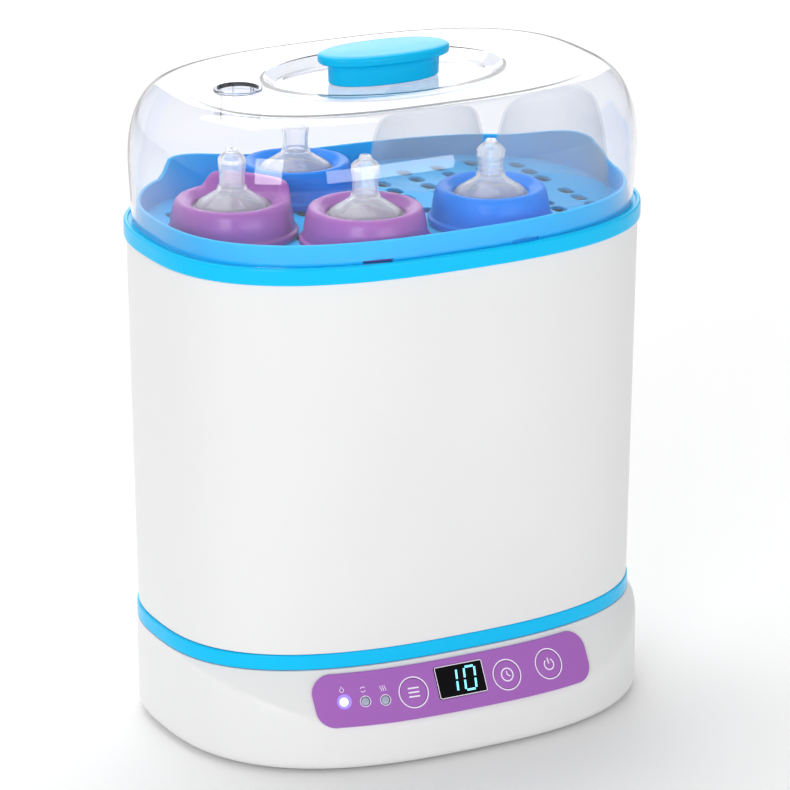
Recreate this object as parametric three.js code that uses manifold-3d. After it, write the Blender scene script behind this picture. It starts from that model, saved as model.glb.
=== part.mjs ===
// Electric steam sterilizer for baby bottles. Millimetres, +Z up, front towards -Y.
// The origin is on the counter, under the middle of the appliance's bounding box.
//
// From the bottom up: a base with the heater and its controls, a white body that
// stands on the base, a bottle basket inside the body, a tray for small pieces in
// the body's top ring, and a clear lid. Collars, teats and bottle hoods lie in the tray.

import * as THREE from 'three'
import { mergeVertices } from 'three/addons/utils/BufferGeometryUtils.js'
import Module from 'manifold-3d'

const wasm = await Module()
wasm.setup()

// ---------------------------------------------------------------- driving sizes

const PLAN_POWER = 2.6                    // the plan is a superellipse of this power
const SIDES = 40                          // points round the plan outline
const ROUND = 16                          // sides of a round piece
const BODY_Y = 5.5                        // the body's axis lies this far behind the origin
const GAP = 0.3                           // between pieces that touch
const WALL = 2.4                          // moulded walls

const FOOT_HEIGHT = 2                     // the feet lift the base this far off the counter
const BASE_TOP = 52
const BASE_BULGE = 104                    // front half-depth of the base at its widest
const TRIM_TOP = 60.4
const COLLAR_TOP = 66                     // the base's upstand that the body fits round
const SHELL_TOP = 257.3
const RING_TOP = 266.5
const LID_SEAT = 265.4                    // the outer step of the top ring, under the lid
const CHANNEL_FLOOR = 260.4               // its inner step, under the tray's wall
const TRAY_FLOOR = 264.6
const TRAY_WALL_TOP = 276.4
const LID_TOP = 338.1
const LID_WALL = 1.9

// Plan outlines as half-width (x) and half-depth (y).
const BASE = { a: 131.6, b: 86.9 }
const SHELL_FOOT = { a: 130.5, b: 87.4 }
const SHELL_HEAD = { a: 133.3, b: 90.2 }
const RING = { a: 134.3, b: 93 }
const TRAY = { a: 127.6, b: 86 }
const LID = { a: 130.6, b: 90.1, power: 2.75 }
const LID_FOOT = { a: 130.4, b: 90 }
const RECESS_RIM = { a: 64.8, b: 44.2, power: 2 }
const RECESS_FLOOR = { a: 58.6, b: 40, power: 2 }
const RECESS_DEPTH = 4.2

// The sloped front face of the base, between the crease and the trim ring.
const CREASE_LOW = 22.3                   // height of the crease at the middle
const CREASE_POWER = 3.2                  // how late it climbs towards the ends
const PANEL = { left: -83.6, right: 71.8, low: -13.4, high: 14.4, corner: 10, thickness: 1.2 }
const BUTTON_RADIUS = 7.3
const LED_RADIUS = 2.4
const DISPLAY = { x: -5, s: 2.4, width: 27.4, height: 16.8 }
const LED_X = [-68.8, -58.2, -47.8]
const LED_S = -2.2                        // how far up the face from its middle line
const BUTTONS = { menu_button: -32.2, timer_button: 21.3, power_button: 46.8 }
const BUTTON_TRAVEL = 0.5

// Centres of the pieces in the tray.
const FIXTURE_FLOOR = TRAY_FLOOR + GAP
const PURPLE_COLLARS = [[-87.7, -4], [-34.7, -47.1]]
const BLUE_COLLARS = [[38.5, -43.3], [-28.8, 43.9]]
const COLLARS = [...PURPLE_COLLARS, ...BLUE_COLLARS]
const BLUE_SCALE = 0.965                  // the blue collars are a little smaller
const TEAT_HEIGHTS = [44.6, 45, 43, 46.4] // one teat in each collar
const HOODS = [{ at: [93.4, -8], height: 56.6 }, { at: [49, 45], height: 49.4 }]
const HOOD_RIM = 31.6
const VENT = { x: -82, outer: 12.4, inner: 10.4, low: 325.5 }

const COLOURS = {
  cyan: 0x1fbcf2,
  white: 0xededee,
  clear: 0xe9f1f6,
  purple: 0xb07cc9,
  blue: 0x1f7fe0,
  panel: 0xa96bb8,
  black: 0x15171b,
  steel: 0xb9bcc0,
  rubber: 0x3a3c3f,
  board: 0x1f6b3a,
  grey: 0xc4c8cf,
  copper: 0xb87333,
}

// ---------------------------------------------------------------- solids and booleans

function toSolid(geometry) {
  const plain = geometry.clone()
  plain.deleteAttribute('normal')
  plain.deleteAttribute('uv')
  const merged = mergeVertices(plain, 1e-4)
  const mesh = new wasm.Mesh({
    numProp: 3,
    vertProperties: Float32Array.from(merged.attributes.position.array),
    triVerts: Uint32Array.from(merged.index.array),
  })
  return new wasm.Manifold(mesh)
}

function toGeometry(solid) {
  const mesh = solid.getMesh()
  const geometry = new THREE.BufferGeometry()
  geometry.setAttribute('position', new THREE.BufferAttribute(mesh.vertProperties, 3))
  geometry.setIndex(new THREE.BufferAttribute(mesh.triVerts, 1))
  geometry.computeVertexNormals()
  return geometry
}

function join(first, others) {
  return toGeometry(others.reduce((all, next) => all.add(toSolid(next)), toSolid(first)))
}

function cut(first, others) {
  return toGeometry(others.reduce((all, next) => all.subtract(toSolid(next)), toSolid(first)))
}

function overlap(first, second) {
  return toGeometry(toSolid(first).intersect(toSolid(second)))
}

// ---------------------------------------------------------------- shapes

// One point of a superellipse; `front` is the half-depth where y is negative.
function planPoint(angle, { a, b, power = PLAN_POWER, front = b }) {
  const c = Math.cos(angle)
  const s = Math.sin(angle)
  const depth = s < 0 ? front : b
  const x = a * Math.sign(c) * Math.abs(c) ** (2 / power)
  const y = depth * Math.sign(s) * Math.abs(s) ** (2 / power)
  return [x, y]
}

const inset = (plan, d) => ({ ...plan, a: plan.a - d, b: plan.b - d })

// A ring of points at height z; z may be a function of the angle.
function ring(plan, z, sides = SIDES) {
  return Array.from({ length: sides }, (_, i) => {
    const angle = (2 * Math.PI * i) / sides
    const [x, y] = planPoint(angle, plan)
    return [x, y, typeof z === 'function' ? z(angle) : z]
  })
}

// Skins a list of rings. A closed loft is a tube whose last ring meets the first;
// an open one is capped at both ends.
function loft(rings, closed = false) {
  const sides = rings[0].length
  const positions = rings.flat(2)
  const index = []
  const spans = closed ? rings.length : rings.length - 1
  for (let r = 0; r < spans; r++) {
    const low = r * sides
    const high = ((r + 1) % rings.length) * sides
    for (let i = 0; i < sides; i++) {
      const j = (i + 1) % sides
      index.push(low + i, low + j, high + j, low + i, high + j, high + i)
    }
  }
  if (!closed) {
    const last = (rings.length - 1) * sides
    const centre = points => [0, 1, 2].map(k => points.reduce((sum, p) => sum + p[k], 0) / sides)
    positions.push(...centre(rings[0]), ...centre(rings.at(-1)))
    const bottom = rings.length * sides
    for (let i = 0; i < sides; i++) {
      const j = (i + 1) % sides
      index.push(bottom, j, i, bottom + 1, last + i, last + j)
    }
  }
  const geometry = new THREE.BufferGeometry()
  geometry.setAttribute('position', new THREE.Float32BufferAttribute(positions, 3))
  geometry.setIndex(index)
  geometry.computeVertexNormals()
  return geometry
}

// A round piece turned from [radius, z] points that run outwards from the bottom up.
function turned(profile, sides = ROUND) {
  const points = profile.map(([r, z]) => new THREE.Vector2(r, z))
  return new THREE.LatheGeometry(points, sides).rotateX(Math.PI / 2)
}

function cylinder(radius, low, high, x = 0, y = 0, sides = ROUND) {
  return new THREE.CylinderGeometry(radius, radius, high - low, sides)
    .rotateX(Math.PI / 2)
    .translate(x, y, (low + high) / 2)
}

// A box between its low and high corners.
function box([x0, y0, z0], [x1, y1, z1]) {
  return new THREE.BoxGeometry(x1 - x0, y1 - y0, z1 - z0)
    .translate((x0 + x1) / 2, (y0 + y1) / 2, (z0 + z1) / 2)
}

// A slab with rounded corners, centred on the origin, from `low` to `high`.
function roundedSlab(width, height, corner, low, high) {
  const x = width / 2 - corner
  const y = height / 2 - corner
  const shape = new THREE.Shape()
  shape.absarc(x, y, corner, 0, Math.PI / 2)
  shape.absarc(-x, y, corner, Math.PI / 2, Math.PI)
  shape.absarc(-x, -y, corner, Math.PI, 1.5 * Math.PI)
  shape.absarc(x, -y, corner, 1.5 * Math.PI, 2 * Math.PI)
  return new THREE.ExtrudeGeometry(shape, { depth: high - low, bevelEnabled: false, curveSegments: 3 })
    .translate(0, 0, low)
}

// ---------------------------------------------------------------- the sloped front face

function creaseHeight(x) {
  return CREASE_LOW + (BASE_TOP - CREASE_LOW) * Math.abs(x / BASE.a) ** CREASE_POWER
}

function frontDepth(x) {
  return (1 - Math.abs(x / BASE.a) ** PLAN_POWER) ** (1 / PLAN_POWER)
}

// A point of the slope: t runs from the crease (0) to the trim ring (1).
function slopePoint(x, t) {
  const y = -frontDepth(x) * (BASE_BULGE * (1 - t) + BASE.b * t)
  return new THREE.Vector3(x, y, creaseHeight(x) * (1 - t) + BASE_TOP * t)
}

// The frame of the slope at (x, t): X along the face, Y up it, Z out of it.
function slopeFrame(x, t = 0.5) {
  const step = 0.5
  const along = slopePoint(x + step, t).sub(slopePoint(x - step, t)).normalize()
  const up = slopePoint(x, 1).sub(slopePoint(x, 0)).normalize()
  const out = new THREE.Vector3().crossVectors(along, up).normalize()
  up.crossVectors(out, along)
  return new THREE.Matrix4().makeBasis(along, up, out).setPosition(slopePoint(x, t))
}

// Turns a distance up the face from its middle line into t.
function faceT(x, s) {
  return 0.5 + s / slopePoint(x, 1).distanceTo(slopePoint(x, 0))
}

const onFace = (geometry, x, s = 0) => geometry.clone().applyMatrix4(slopeFrame(x, faceT(x, s)))

// ---------------------------------------------------------------- the scene graph

const appliance = new THREE.Group()
appliance.position.y = BODY_Y

function add(name, geometry, color, { roughness = 0.35, metalness = 0, opacity = 1 } = {}) {
  const material = new THREE.MeshStandardMaterial({ color, roughness, metalness, opacity })
  material.transparent = opacity < 1
  const mesh = new THREE.Mesh(geometry, material)
  mesh.name = name
  appliance.add(mesh)
  return mesh
}

// ---------------------------------------------------------------- base housing

const EDGE_RADIUS = 6                     // rounding of the base's bottom edge
const EDGE_TUCK = 5.5
const BASE_WALL = 3
const DECK = { low: 43.4, high: 46 }      // the floor of the water basin
const HEATER_HOLE = 57
const UPSTAND = inset(BASE, 4.6)
const BASIN = inset(BASE, 7)
const BOSSES = [[-100, -36], [100, -36], [-100, 38], [100, 38]]
const BOSS = { radius: 4.2, low: 6, pilot: 1.9, pilotTop: 20 }
const GLAND = { x: 24, z: 22, hole: 5.6 }

// A ring of the base's outside, or of its cavity when `d` insets it.
function baseRing(z, d, edge = 0) {
  const low = { ...inset(BASE, d + edge), front: BASE_BULGE - d - edge }
  return ring(low, z)
}

// The ring where the vertical front wall turns into the slope.
function creaseRing(d) {
  const plan = { ...inset(BASE, d), front: BASE_BULGE - d }
  const behind = BASE_TOP - 12
  return ring(plan, angle => {
    return Math.sin(angle) < 0 ? creaseHeight(planPoint(angle, BASE)[0]) - d / 2 : behind
  })
}

function edgeRings(d, z0) {
  return [0, 0.33, 0.66, 1].map(step => {
    const angle = (step * Math.PI) / 2
    return baseRing(z0 + EDGE_RADIUS * (1 - Math.cos(angle)), d, EDGE_TUCK * (1 - Math.sin(angle)))
  })
}

// The cavity's top ring, on the slope's inner face at the deck's underside.
function cavityTop() {
  return ring(BASE, DECK.low).map(([x, y]) => {
    const crease = creaseHeight(x)
    const t = Math.min(1, Math.max(0, (DECK.low - crease) / (BASE_TOP - crease)))
    const bulge = y < 0 ? 1 + (1 - t) * (BASE_BULGE / BASE.b - 1) : 1
    const reach = 1 - BASE_WALL / Math.hypot(x, y * bulge)
    return [x * reach, y * bulge * reach, DECK.low]
  })
}

function frontHoles() {
  const reach = 6
  const button = cylinder(BUTTON_RADIUS + 1, -reach, reach)
  const led = cylinder(LED_RADIUS + 0.6, -reach, reach, 0, 0, 8)
  const window = roundedSlab(DISPLAY.width - 3, DISPLAY.height - 3, 1, -reach, reach)
  return [
    ...Object.values(BUTTONS).map(x => onFace(button, x)),
    ...LED_X.map(x => onFace(led, x, LED_S)),
    onFace(window, DISPLAY.x, DISPLAY.s),
  ]
}

function baseHousing() {
  const outside = loft([...edgeRings(0, FOOT_HEIGHT), creaseRing(0), ring(BASE, BASE_TOP)])
  const upstand = loft([ring(UPSTAND, BASE_TOP - 4), ring(UPSTAND, COLLAR_TOP)])
  const basin = loft([ring(BASIN, DECK.high), ring(BASIN, COLLAR_TOP + 1)])
  const mouth = baseRing(FOOT_HEIGHT - 1, BASE_WALL, EDGE_TUCK)
  const cavity = loft([mouth, ...edgeRings(BASE_WALL, FOOT_HEIGHT + 1), creaseRing(BASE_WALL), cavityTop()])
  const heaterHole = cylinder(HEATER_HOLE, DECK.low - 1, DECK.high + 1, 0, 0, 28)
  const glandHole = cylinder(GLAND.hole, -8, 8).rotateX(Math.PI / 2).translate(GLAND.x, 80, GLAND.z)
  const shell = cut(join(outside, [upstand]), [basin, cavity, heaterHole, glandHole, ...frontHoles()])
  const bosses = BOSSES.map(([x, y]) => cylinder(BOSS.radius, BOSS.low, DECK.low + 1, x, y, 10))
  const pilots = BOSSES.map(([x, y]) => cylinder(BOSS.pilot, BOSS.low - 1, BOSS.pilotTop, x, y, 8))
  return cut(join(shell, bosses), pilots)
}

add('base_housing', baseHousing(), COLOURS.white)

// ---------------------------------------------------------------- trim ring, cover, feet

function trimRing() {
  const low = BASE_TOP + GAP
  const high = TRIM_TOP
  const soft = 0.7                        // rounded outer edges
  const inner = inset(BASE, 4.2)
  return loft([
    ring(inner, low), ring(inset(BASE, soft), low), ring(BASE, low + soft),
    ring(BASE, high - soft), ring(inset(BASE, soft), high), ring(inner, high),
  ], true)
}

add('base_trim_ring', trimRing(), COLOURS.cyan, { roughness: 0.3 })

const COVER = { low: FOOT_HEIGHT + GAP, high: FOOT_HEIGHT + 3.3, inset: BASE_WALL + EDGE_TUCK + 0.8 }
const FEET = [[-80, -50], [80, -50], [-80, 46], [80, 46]]
const FOOT_RADIUS = 9
const FOOT_SEAT = 1.5                     // how deep the cover takes each foot
const HEAD_SEAT = 1.6                     // and each screw's head
const COVER_SLOTS = { pitch: 8, width: 3, near: -66, far: -44 }

function bottomCover() {
  const plan = { ...inset(BASE, COVER.inset), front: BASE_BULGE - COVER.inset }
  const plate = loft([ring(plan, COVER.low), ring(plan, COVER.high)])
  const under = COVER.low - 1
  const footSeats = FEET.map(([x, y]) => cylinder(FOOT_RADIUS + GAP, under, COVER.low + FOOT_SEAT, x, y))
  const screwHoles = BOSSES.map(([x, y]) => cylinder(2.2, under, COVER.high + 1, x, y, 10))
  const headSeats = BOSSES.map(([x, y]) => cylinder(4, under, COVER.low + HEAD_SEAT, x, y, 10))
  const { pitch, width, near, far } = COVER_SLOTS
  const ventSlots = [-2, -1, 0, 1, 2].map(i => {
    return box([i * pitch - width / 2, near, under], [i * pitch + width / 2, far, COVER.high + 1])
  })
  return cut(plate, [...footSeats, ...screwHoles, ...headSeats, ...ventSlots])
}

add('bottom_cover', bottomCover(), COLOURS.grey, { roughness: 0.6 })

FEET.forEach(([x, y], i) => {
  const top = COVER.low + FOOT_SEAT - GAP
  const profile = [[0, 0], [FOOT_RADIUS - 1.2, 0], [FOOT_RADIUS, 1], [FOOT_RADIUS, top], [0, top]]
  add(`foot_${i + 1}`, turned(profile, 14), COLOURS.rubber, { roughness: 0.9 }).position.set(x, y, 0)
})

BOSSES.forEach(([x, y], i) => {
  const head = COVER.low + HEAD_SEAT - GAP
  const profile = [[0, COVER.low], [3.4, COVER.low], [3.6, head], [1.6, head], [1.6, 17], [0, 18]]
  add(`cover_screw_${i + 1}`, turned(profile, 8), COLOURS.steel, { metalness: 1 }).position.set(x, y, 0)
})

// ---------------------------------------------------------------- heater

const PLATE = { rim: 62, flangeLow: 47.5, flangeHigh: 48.5, dish: 55.5, low: 41.2, sheet: 1.2 }
const PLATE_SIDES = 28

function heaterPlate() {
  const { rim, flangeLow, flangeHigh, dish, low, sheet } = PLATE
  return turned([
    [0, low], [dish - 3, low], [dish, low + 3], [dish, flangeLow], [rim, flangeLow], [rim, flangeHigh],
    [dish - sheet, flangeHigh], [dish - sheet, low + 3.4], [dish - 3.4, low + sheet], [0, low + sheet],
  ], PLATE_SIDES)
}

add('heater_plate', heaterPlate(), COLOURS.steel, { metalness: 1, roughness: 0.25 })

function heaterSeal() {
  const low = DECK.high + GAP
  const high = PLATE.flangeLow - GAP
  const [inner, outer] = [HEATER_HOLE + 0.5, PLATE.rim - 0.5]
  return turned([[inner, low], [outer, low], [outer, high], [inner, high], [inner, low]], PLATE_SIDES)
}

add('heater_seal', heaterSeal(), COLOURS.grey, { roughness: 0.8 })

// The element is an open ring with both ends turned down to its terminals.
const ELEMENT = { radius: 38, tube: 3.2, z: PLATE.low - GAP - 3.2, drop: 14 }

class ElementPath extends THREE.Curve {
  getPoint(t, target = new THREE.Vector3()) {
    const { radius, z, drop } = ELEMENT
    const opening = 0.35                  // half the angle left open at the rear
    const tail = 0.06                     // share of the path in each end
    const share = THREE.MathUtils.clamp((t - tail) / (1 - 2 * tail), 0, 1)
    const angle = Math.PI / 2 + opening + share * 2 * (Math.PI - opening)
    const fall = Math.max(0, tail - Math.min(t, 1 - t)) / tail
    return target.set(radius * Math.cos(angle), radius * Math.sin(angle), z - drop * fall)
  }
}

function heatingElement() {
  const section = new THREE.Shape().absarc(0, 0, ELEMENT.tube, 0, 2 * Math.PI)
  return new THREE.ExtrudeGeometry(section, {
    steps: 30, extrudePath: new ElementPath(), bevelEnabled: false, curveSegments: 4,
  })
}

add('heating_element', heatingElement(), COLOURS.steel, { metalness: 1, roughness: 0.4 })

// A pressed bar holds the element up against the plate and carries the thermostat.
const BRACKET = { top: ELEMENT.z - ELEMENT.tube - GAP, sheet: 1.5, reach: 50, half: 7, leg: 4 }

function elementBracket() {
  const { top, sheet, reach, half, leg } = BRACKET
  const bar = box([-reach, -half, top - sheet], [reach, half, top])
  const eye = cylinder(2 * half, top - sheet, top)
  const legs = [-reach, reach].map(x => box([x - leg, -half, top - sheet], [x + leg, half, PLATE.low - GAP]))
  return cut(join(bar, [eye, ...legs]), [cylinder(10, top - 3, top + 1)])
}

add('element_bracket', elementBracket(), COLOURS.steel, { metalness: 1, roughness: 0.5 })

function thermostat() {
  const top = PLATE.low - GAP
  const can = turned([[0, top - 13], [9, top - 13], [9, top - 3], [9.4, top - 3], [9.4, top], [0, top]])
  const terminals = [-5, 5].map(x => box([x - 2.5, -0.5, top - 20], [x + 2.5, 0.5, top - 12]))
  return join(can, terminals)
}

add('thermostat', thermostat(), COLOURS.black, { roughness: 0.5 })

const FUSE_PROFILE = [[0, -9], [1, -9], [2.4, -6], [2.4, 6], [1, 9], [0, 9]]
const fuse = add('thermal_fuse', turned(FUSE_PROFILE, 12), COLOURS.grey)
fuse.rotation.y = Math.PI / 2
fuse.position.set(0, 22, PLATE.low - GAP - 2.5)

// ---------------------------------------------------------------- power board

const BOARD_SHEET = 1.6
const POWER_BOARD = { x: -92, y: 0, z: 12, width: 44, depth: 62 }

function powerBoard() {
  const { x, y, z, width, depth } = POWER_BOARD
  const plate = box([x - width / 2, y - depth / 2, z], [x + width / 2, y + depth / 2, z + BOARD_SHEET])
  const holes = [-1, 1].flatMap(i => [-1, 1].map(j => {
    return cylinder(1.8, z - 1, z + 3, x + i * (width / 2 - 4), y + j * (depth / 2 - 4), 10)
  }))
  return cut(plate, holes)
}

add('power_board', powerBoard(), COLOURS.board, { roughness: 0.6 })

// A part on the power board, dx and dy from its middle.
function onBoard(dx, dy, width, depth, height) {
  const [x, y] = [POWER_BOARD.x + dx, POWER_BOARD.y + dy]
  const floor = POWER_BOARD.z + BOARD_SHEET + GAP
  return box([x - width / 2, y - depth / 2, floor], [x + width / 2, y + depth / 2, floor + height])
}

add('relay', onBoard(-6, -12, 16, 19, 15.5), COLOURS.black, { roughness: 0.5 })

const CORE = onBoard(4, 14, 18, 14, 16)
const WINDING = onBoard(4, 14, 12, 20, 13)
add('transformer', join(CORE, [WINDING]), COLOURS.copper, { roughness: 0.5 })

// ---------------------------------------------------------------- cord gland in the rear wall

// The gland's nut side is inside the wall; its bore is where a lead would leave.
function cordGland() {
  const inside = BASE_WALL + 2.4
  return turned([
    [3.2, -inside - 2], [7, -inside - 2], [7, -inside], [4.9, -inside], [4.9, 1.2], [7.5, 1.2], [7.5, 2.4],
    [5, 5], [3.2, 5], [3.2, -inside - 2],
  ], 12)
}

const gland = add('cord_gland', cordGland(), COLOURS.grey, { roughness: 0.7 })
gland.rotation.x = -Math.PI / 2
gland.position.set(GLAND.x, frontDepth(GLAND.x) * BASE.b, GLAND.z)

// ---------------------------------------------------------------- control panel

// The part of the slope between two heights above its surface, wide enough for the panel.
function faceSkin(low, high) {
  const count = 10
  const reach = 90
  const lift = (x, t, height) => new THREE.Vector3(0, 0, height).applyMatrix4(slopeFrame(x, t)).toArray()
  const rings = Array.from({ length: count + 1 }, (_, i) => {
    const x = -reach + (2 * reach * i) / count
    return [lift(x, 0.02, low), lift(x, 0.98, low), lift(x, 0.98, high), lift(x, 0.02, high)]
  })
  return loft(rings)
}

// The panel's outline seen square on to the slope. Its long edges follow the curve
// of the front, which sets the face back towards the ends.
const ARC_POINTS = 3                      // points inside each rounded corner

function panelOutline() {
  const { left, right, low, high, corner } = PANEL
  const steps = 6
  const setBack = x => BASE.b * (1 - frontDepth(x)) * Math.cos(Math.PI / 3)
  const x0 = left + corner
  const x1 = right - corner
  const edge = (from, to, s) => Array.from({ length: steps + 1 }, (_, i) => {
    const x = from + ((to - from) * i) / steps
    return [x, s + setBack(x)]
  })
  const arc = (x, s, start) => Array.from({ length: ARC_POINTS }, (_, i) => {
    const angle = start + ((i + 1) * Math.PI) / (2 * ARC_POINTS + 2)
    return [x + corner * Math.cos(angle), s + corner * Math.sin(angle)]
  })
  const points = [
    ...edge(x0, x1, low), ...arc(x1, low + corner + setBack(x1), 1.5 * Math.PI),
    [right, low + corner + setBack(x1)], [right, high - corner + setBack(x1)],
    ...arc(x1, high - corner + setBack(x1), 0), ...edge(x1, x0, high),
    ...arc(x0, high - corner + setBack(x0), Math.PI / 2),
    [left, high - corner + setBack(x0)], [left, low + corner + setBack(x0)],
    ...arc(x0, low + corner + setBack(x0), Math.PI),
  ]
  return new THREE.Shape(points.map(([x, s]) => new THREE.Vector2(x, s)))
}

function controlPanel() {
  const prism = new THREE.ExtrudeGeometry(panelOutline(), { depth: 60, bevelEnabled: false })
    .translate(0, 0, -30)
    .applyMatrix4(slopeFrame(0))
  const plate = overlap(faceSkin(GAP, GAP + PANEL.thickness), prism)
  const button = cylinder(BUTTON_RADIUS + 0.4, -5, 5)
  const led = cylinder(LED_RADIUS + 0.5, -5, 5, 0, 0, 10)
  const window = roundedSlab(DISPLAY.width + 0.6, DISPLAY.height + 0.6, 1.5, -5, 5)
  return cut(plate, [
    ...Object.values(BUTTONS).map(x => onFace(button, x)),
    ...LED_X.map(x => onFace(led, x, LED_S)),
    onFace(window, DISPLAY.x, DISPLAY.s),
  ])
}

add('control_panel', controlPanel(), COLOURS.panel, { roughness: 0.45 })

// Lays a piece modelled round the origin on the slope.
function lay(mesh, x, s = 0) {
  mesh.applyMatrix4(slopeFrame(x, faceT(x, s)))
}

const WINDOW = roundedSlab(DISPLAY.width, DISPLAY.height, 1.5, GAP, 1.7)
lay(add('display_window', WINDOW, COLOURS.black), DISPLAY.x, DISPLAY.s)

// The digit module sits behind the window, inside the housing's opening.
const MODULE = roundedSlab(DISPLAY.width - 4, DISPLAY.height - 4, 0.8, -8, -GAP)
lay(add('display_module', MODULE, COLOURS.grey), DISPLAY.x, DISPLAY.s)

const LED_PROFILE = [[0, -4], [LED_RADIUS, -4], [LED_RADIUS, 1.4], [LED_RADIUS - 0.7, 1.9], [0, 1.9]]
LED_X.forEach((x, i) => {
  lay(add(`led_${i + 1}`, turned(LED_PROFILE, 10), COLOURS.grey, { roughness: 0.2 }), x, LED_S)
})

// Each button is a cap on a stem that reaches back to its switch.
const BUTTON_STEM = 9.4
const BUTTON_PROFILE = [
  [0, -BUTTON_STEM], [2, -BUTTON_STEM], [2, -1.4], [BUTTON_RADIUS, -1.4], [BUTTON_RADIUS, 1.9],
  [BUTTON_RADIUS - 0.6, 2.4], [0, 2.4],
]
for (const [name, x] of Object.entries(BUTTONS)) {
  lay(add(name, turned(BUTTON_PROFILE, 14), COLOURS.panel, { roughness: 0.4 }), x)
}

// ---------------------------------------------------------------- control board

const BOARD = { left: -74, right: 62, depth: 15.4, half: 8.6, holes: [-66, 56] }

function controlBoard() {
  const { left, right, depth, half, holes } = BOARD
  const plate = box([left, -half, -depth - BOARD_SHEET], [right, half, -depth])
  return cut(plate, holes.map(x => cylinder(1.8, -depth - 3, 0, x, 0, 10)))
}

add('control_board', controlBoard(), COLOURS.board, { roughness: 0.6 }).applyMatrix4(slopeFrame(0))

// Under each button a tact switch stands on the board; its plunger stays clear of the stem.
const boardFrame = slopeFrame(0)
for (const [name, x] of Object.entries(BUTTONS)) {
  const stemEnd = new THREE.Vector3(0, 0, -BUTTON_STEM).applyMatrix4(slopeFrame(x))
  const local = stemEnd.applyMatrix4(boardFrame.clone().invert())
  const floor = -BOARD.depth + GAP
  const top = local.z - BUTTON_TRAVEL - 0.6
  const body = box([-3, -3, floor], [3, 3, top - 0.8])
  const plunger = cylinder(1.2, floor, top, 0, 0, 10)
  const tact = join(body, [plunger]).translate(local.x, local.y, 0)
  add(name.replace('button', 'switch'), tact, COLOURS.black).applyMatrix4(boardFrame)
}

// ---------------------------------------------------------------- body

const LEDGE = { low: 68, high: 70.4, inset: 7.2 }

function bodyShell() {
  const foot = TRIM_TOP + GAP
  const between = z => {
    const t = (z - foot) / (SHELL_TOP - foot)
    const { lerp } = THREE.MathUtils
    return { a: lerp(SHELL_FOOT.a, SHELL_HEAD.a, t), b: lerp(SHELL_FOOT.b, SHELL_HEAD.b, t) }
  }
  return loft([
    ring(inset(SHELL_FOOT, WALL), foot), ring(inset(SHELL_FOOT, 0.5), foot), ring(SHELL_FOOT, foot + 0.5),
    ring(SHELL_HEAD, SHELL_TOP), ring(inset(SHELL_HEAD, WALL), SHELL_TOP),
    ring(inset(between(LEDGE.high), WALL), LEDGE.high), ring(inset(SHELL_FOOT, LEDGE.inset), LEDGE.high),
    ring(inset(SHELL_FOOT, LEDGE.inset), LEDGE.low), ring(inset(SHELL_FOOT, WALL), LEDGE.low),
  ], true)
}

add('body_shell', bodyShell(), COLOURS.white)

// The ring on top of the body: a skirt inside the shell, an outer lip, and two steps
// inside it, one for the lid and a lower one for the tray.
const LIP = 2.2
const LID_STEP = 6.2
const RING_INNER = 8.2
const SKIRT = { drop: 8, sheet: 2 }

function topRing() {
  const low = SHELL_TOP + GAP
  const skirt = inset(SHELL_HEAD, WALL + GAP)
  return loft([
    ring(inset(skirt, SKIRT.sheet), low - SKIRT.drop), ring(skirt, low - SKIRT.drop), ring(skirt, low),
    ring(inset(RING, 0.6), low), ring(RING, low + 0.6),
    ring(RING, RING_TOP - 1), ring(inset(RING, 0.8), RING_TOP), ring(inset(RING, LIP), RING_TOP - 0.2),
    ring(inset(RING, LIP), LID_SEAT), ring(inset(RING, LID_STEP), LID_SEAT),
    ring(inset(RING, LID_STEP), CHANNEL_FLOOR),
    ring(inset(RING, RING_INNER), CHANNEL_FLOOR), ring(inset(RING, RING_INNER), low),
  ], true)
}

add('body_top_ring', topRing(), COLOURS.cyan, { roughness: 0.3 })

// ---------------------------------------------------------------- bottle basket

const BASKET = { plan: inset(SHELL_FOOT, 6), floor: LEDGE.high + GAP, sheet: 2.2, rim: 86 }
const BOTTLES = [-82, 0, 82].flatMap(x => [[x, -38], [x, 38]])
const CROSS = { reach: 14, half: 1, height: 32 }
const SLOT_PITCH = 20
const SLOT_COUNT = 11

// Cutters for two rows of steam slots, from `near` to `far` either side of the middle.
function steamSlots(width, near, far, low, high) {
  return Array.from({ length: SLOT_COUNT }, (_, i) => {
    const x = (i - (SLOT_COUNT - 1) / 2) * SLOT_PITCH
    const [left, right] = [x - width / 2, x + width / 2]
    return [[near, far], [-far, -near]].map(([y0, y1]) => box([left, y0, low], [right, y1, high]))
  }).flat()
}

function bottleBasket() {
  const { plan, floor, sheet, rim } = BASKET
  const inner = inset(plan, 2)
  const tub = loft([
    ring(plan, floor), ring(inset(plan, -0.8), rim),
    ring(inset(inner, -0.8), rim), ring(inner, floor + sheet),
  ])
  const { reach, half, height } = CROSS
  const crosses = BOTTLES.flatMap(([x, y]) => [
    box([x - reach, y - half, floor + 0.5], [x + reach, y + half, floor + height]),
    box([x - half, y - reach, floor + 0.5], [x + half, y + reach, floor + height]),
  ])
  return join(cut(tub, steamSlots(6, 6, 62, floor - 1, floor + sheet + 1)), crosses)
}

add('bottle_basket', bottleBasket(), COLOURS.white, { roughness: 0.5 })

// ---------------------------------------------------------------- upper tray

// The tray's wall: low along the front, with a wavy rear part between two ears.
const EARS = [
  { angle: 0.07, rise: 8.6, front: -0.12, back: 0.75 },
  { angle: 2.24, rise: 9.4, front: 2.36, back: 1.62 },
]

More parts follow.
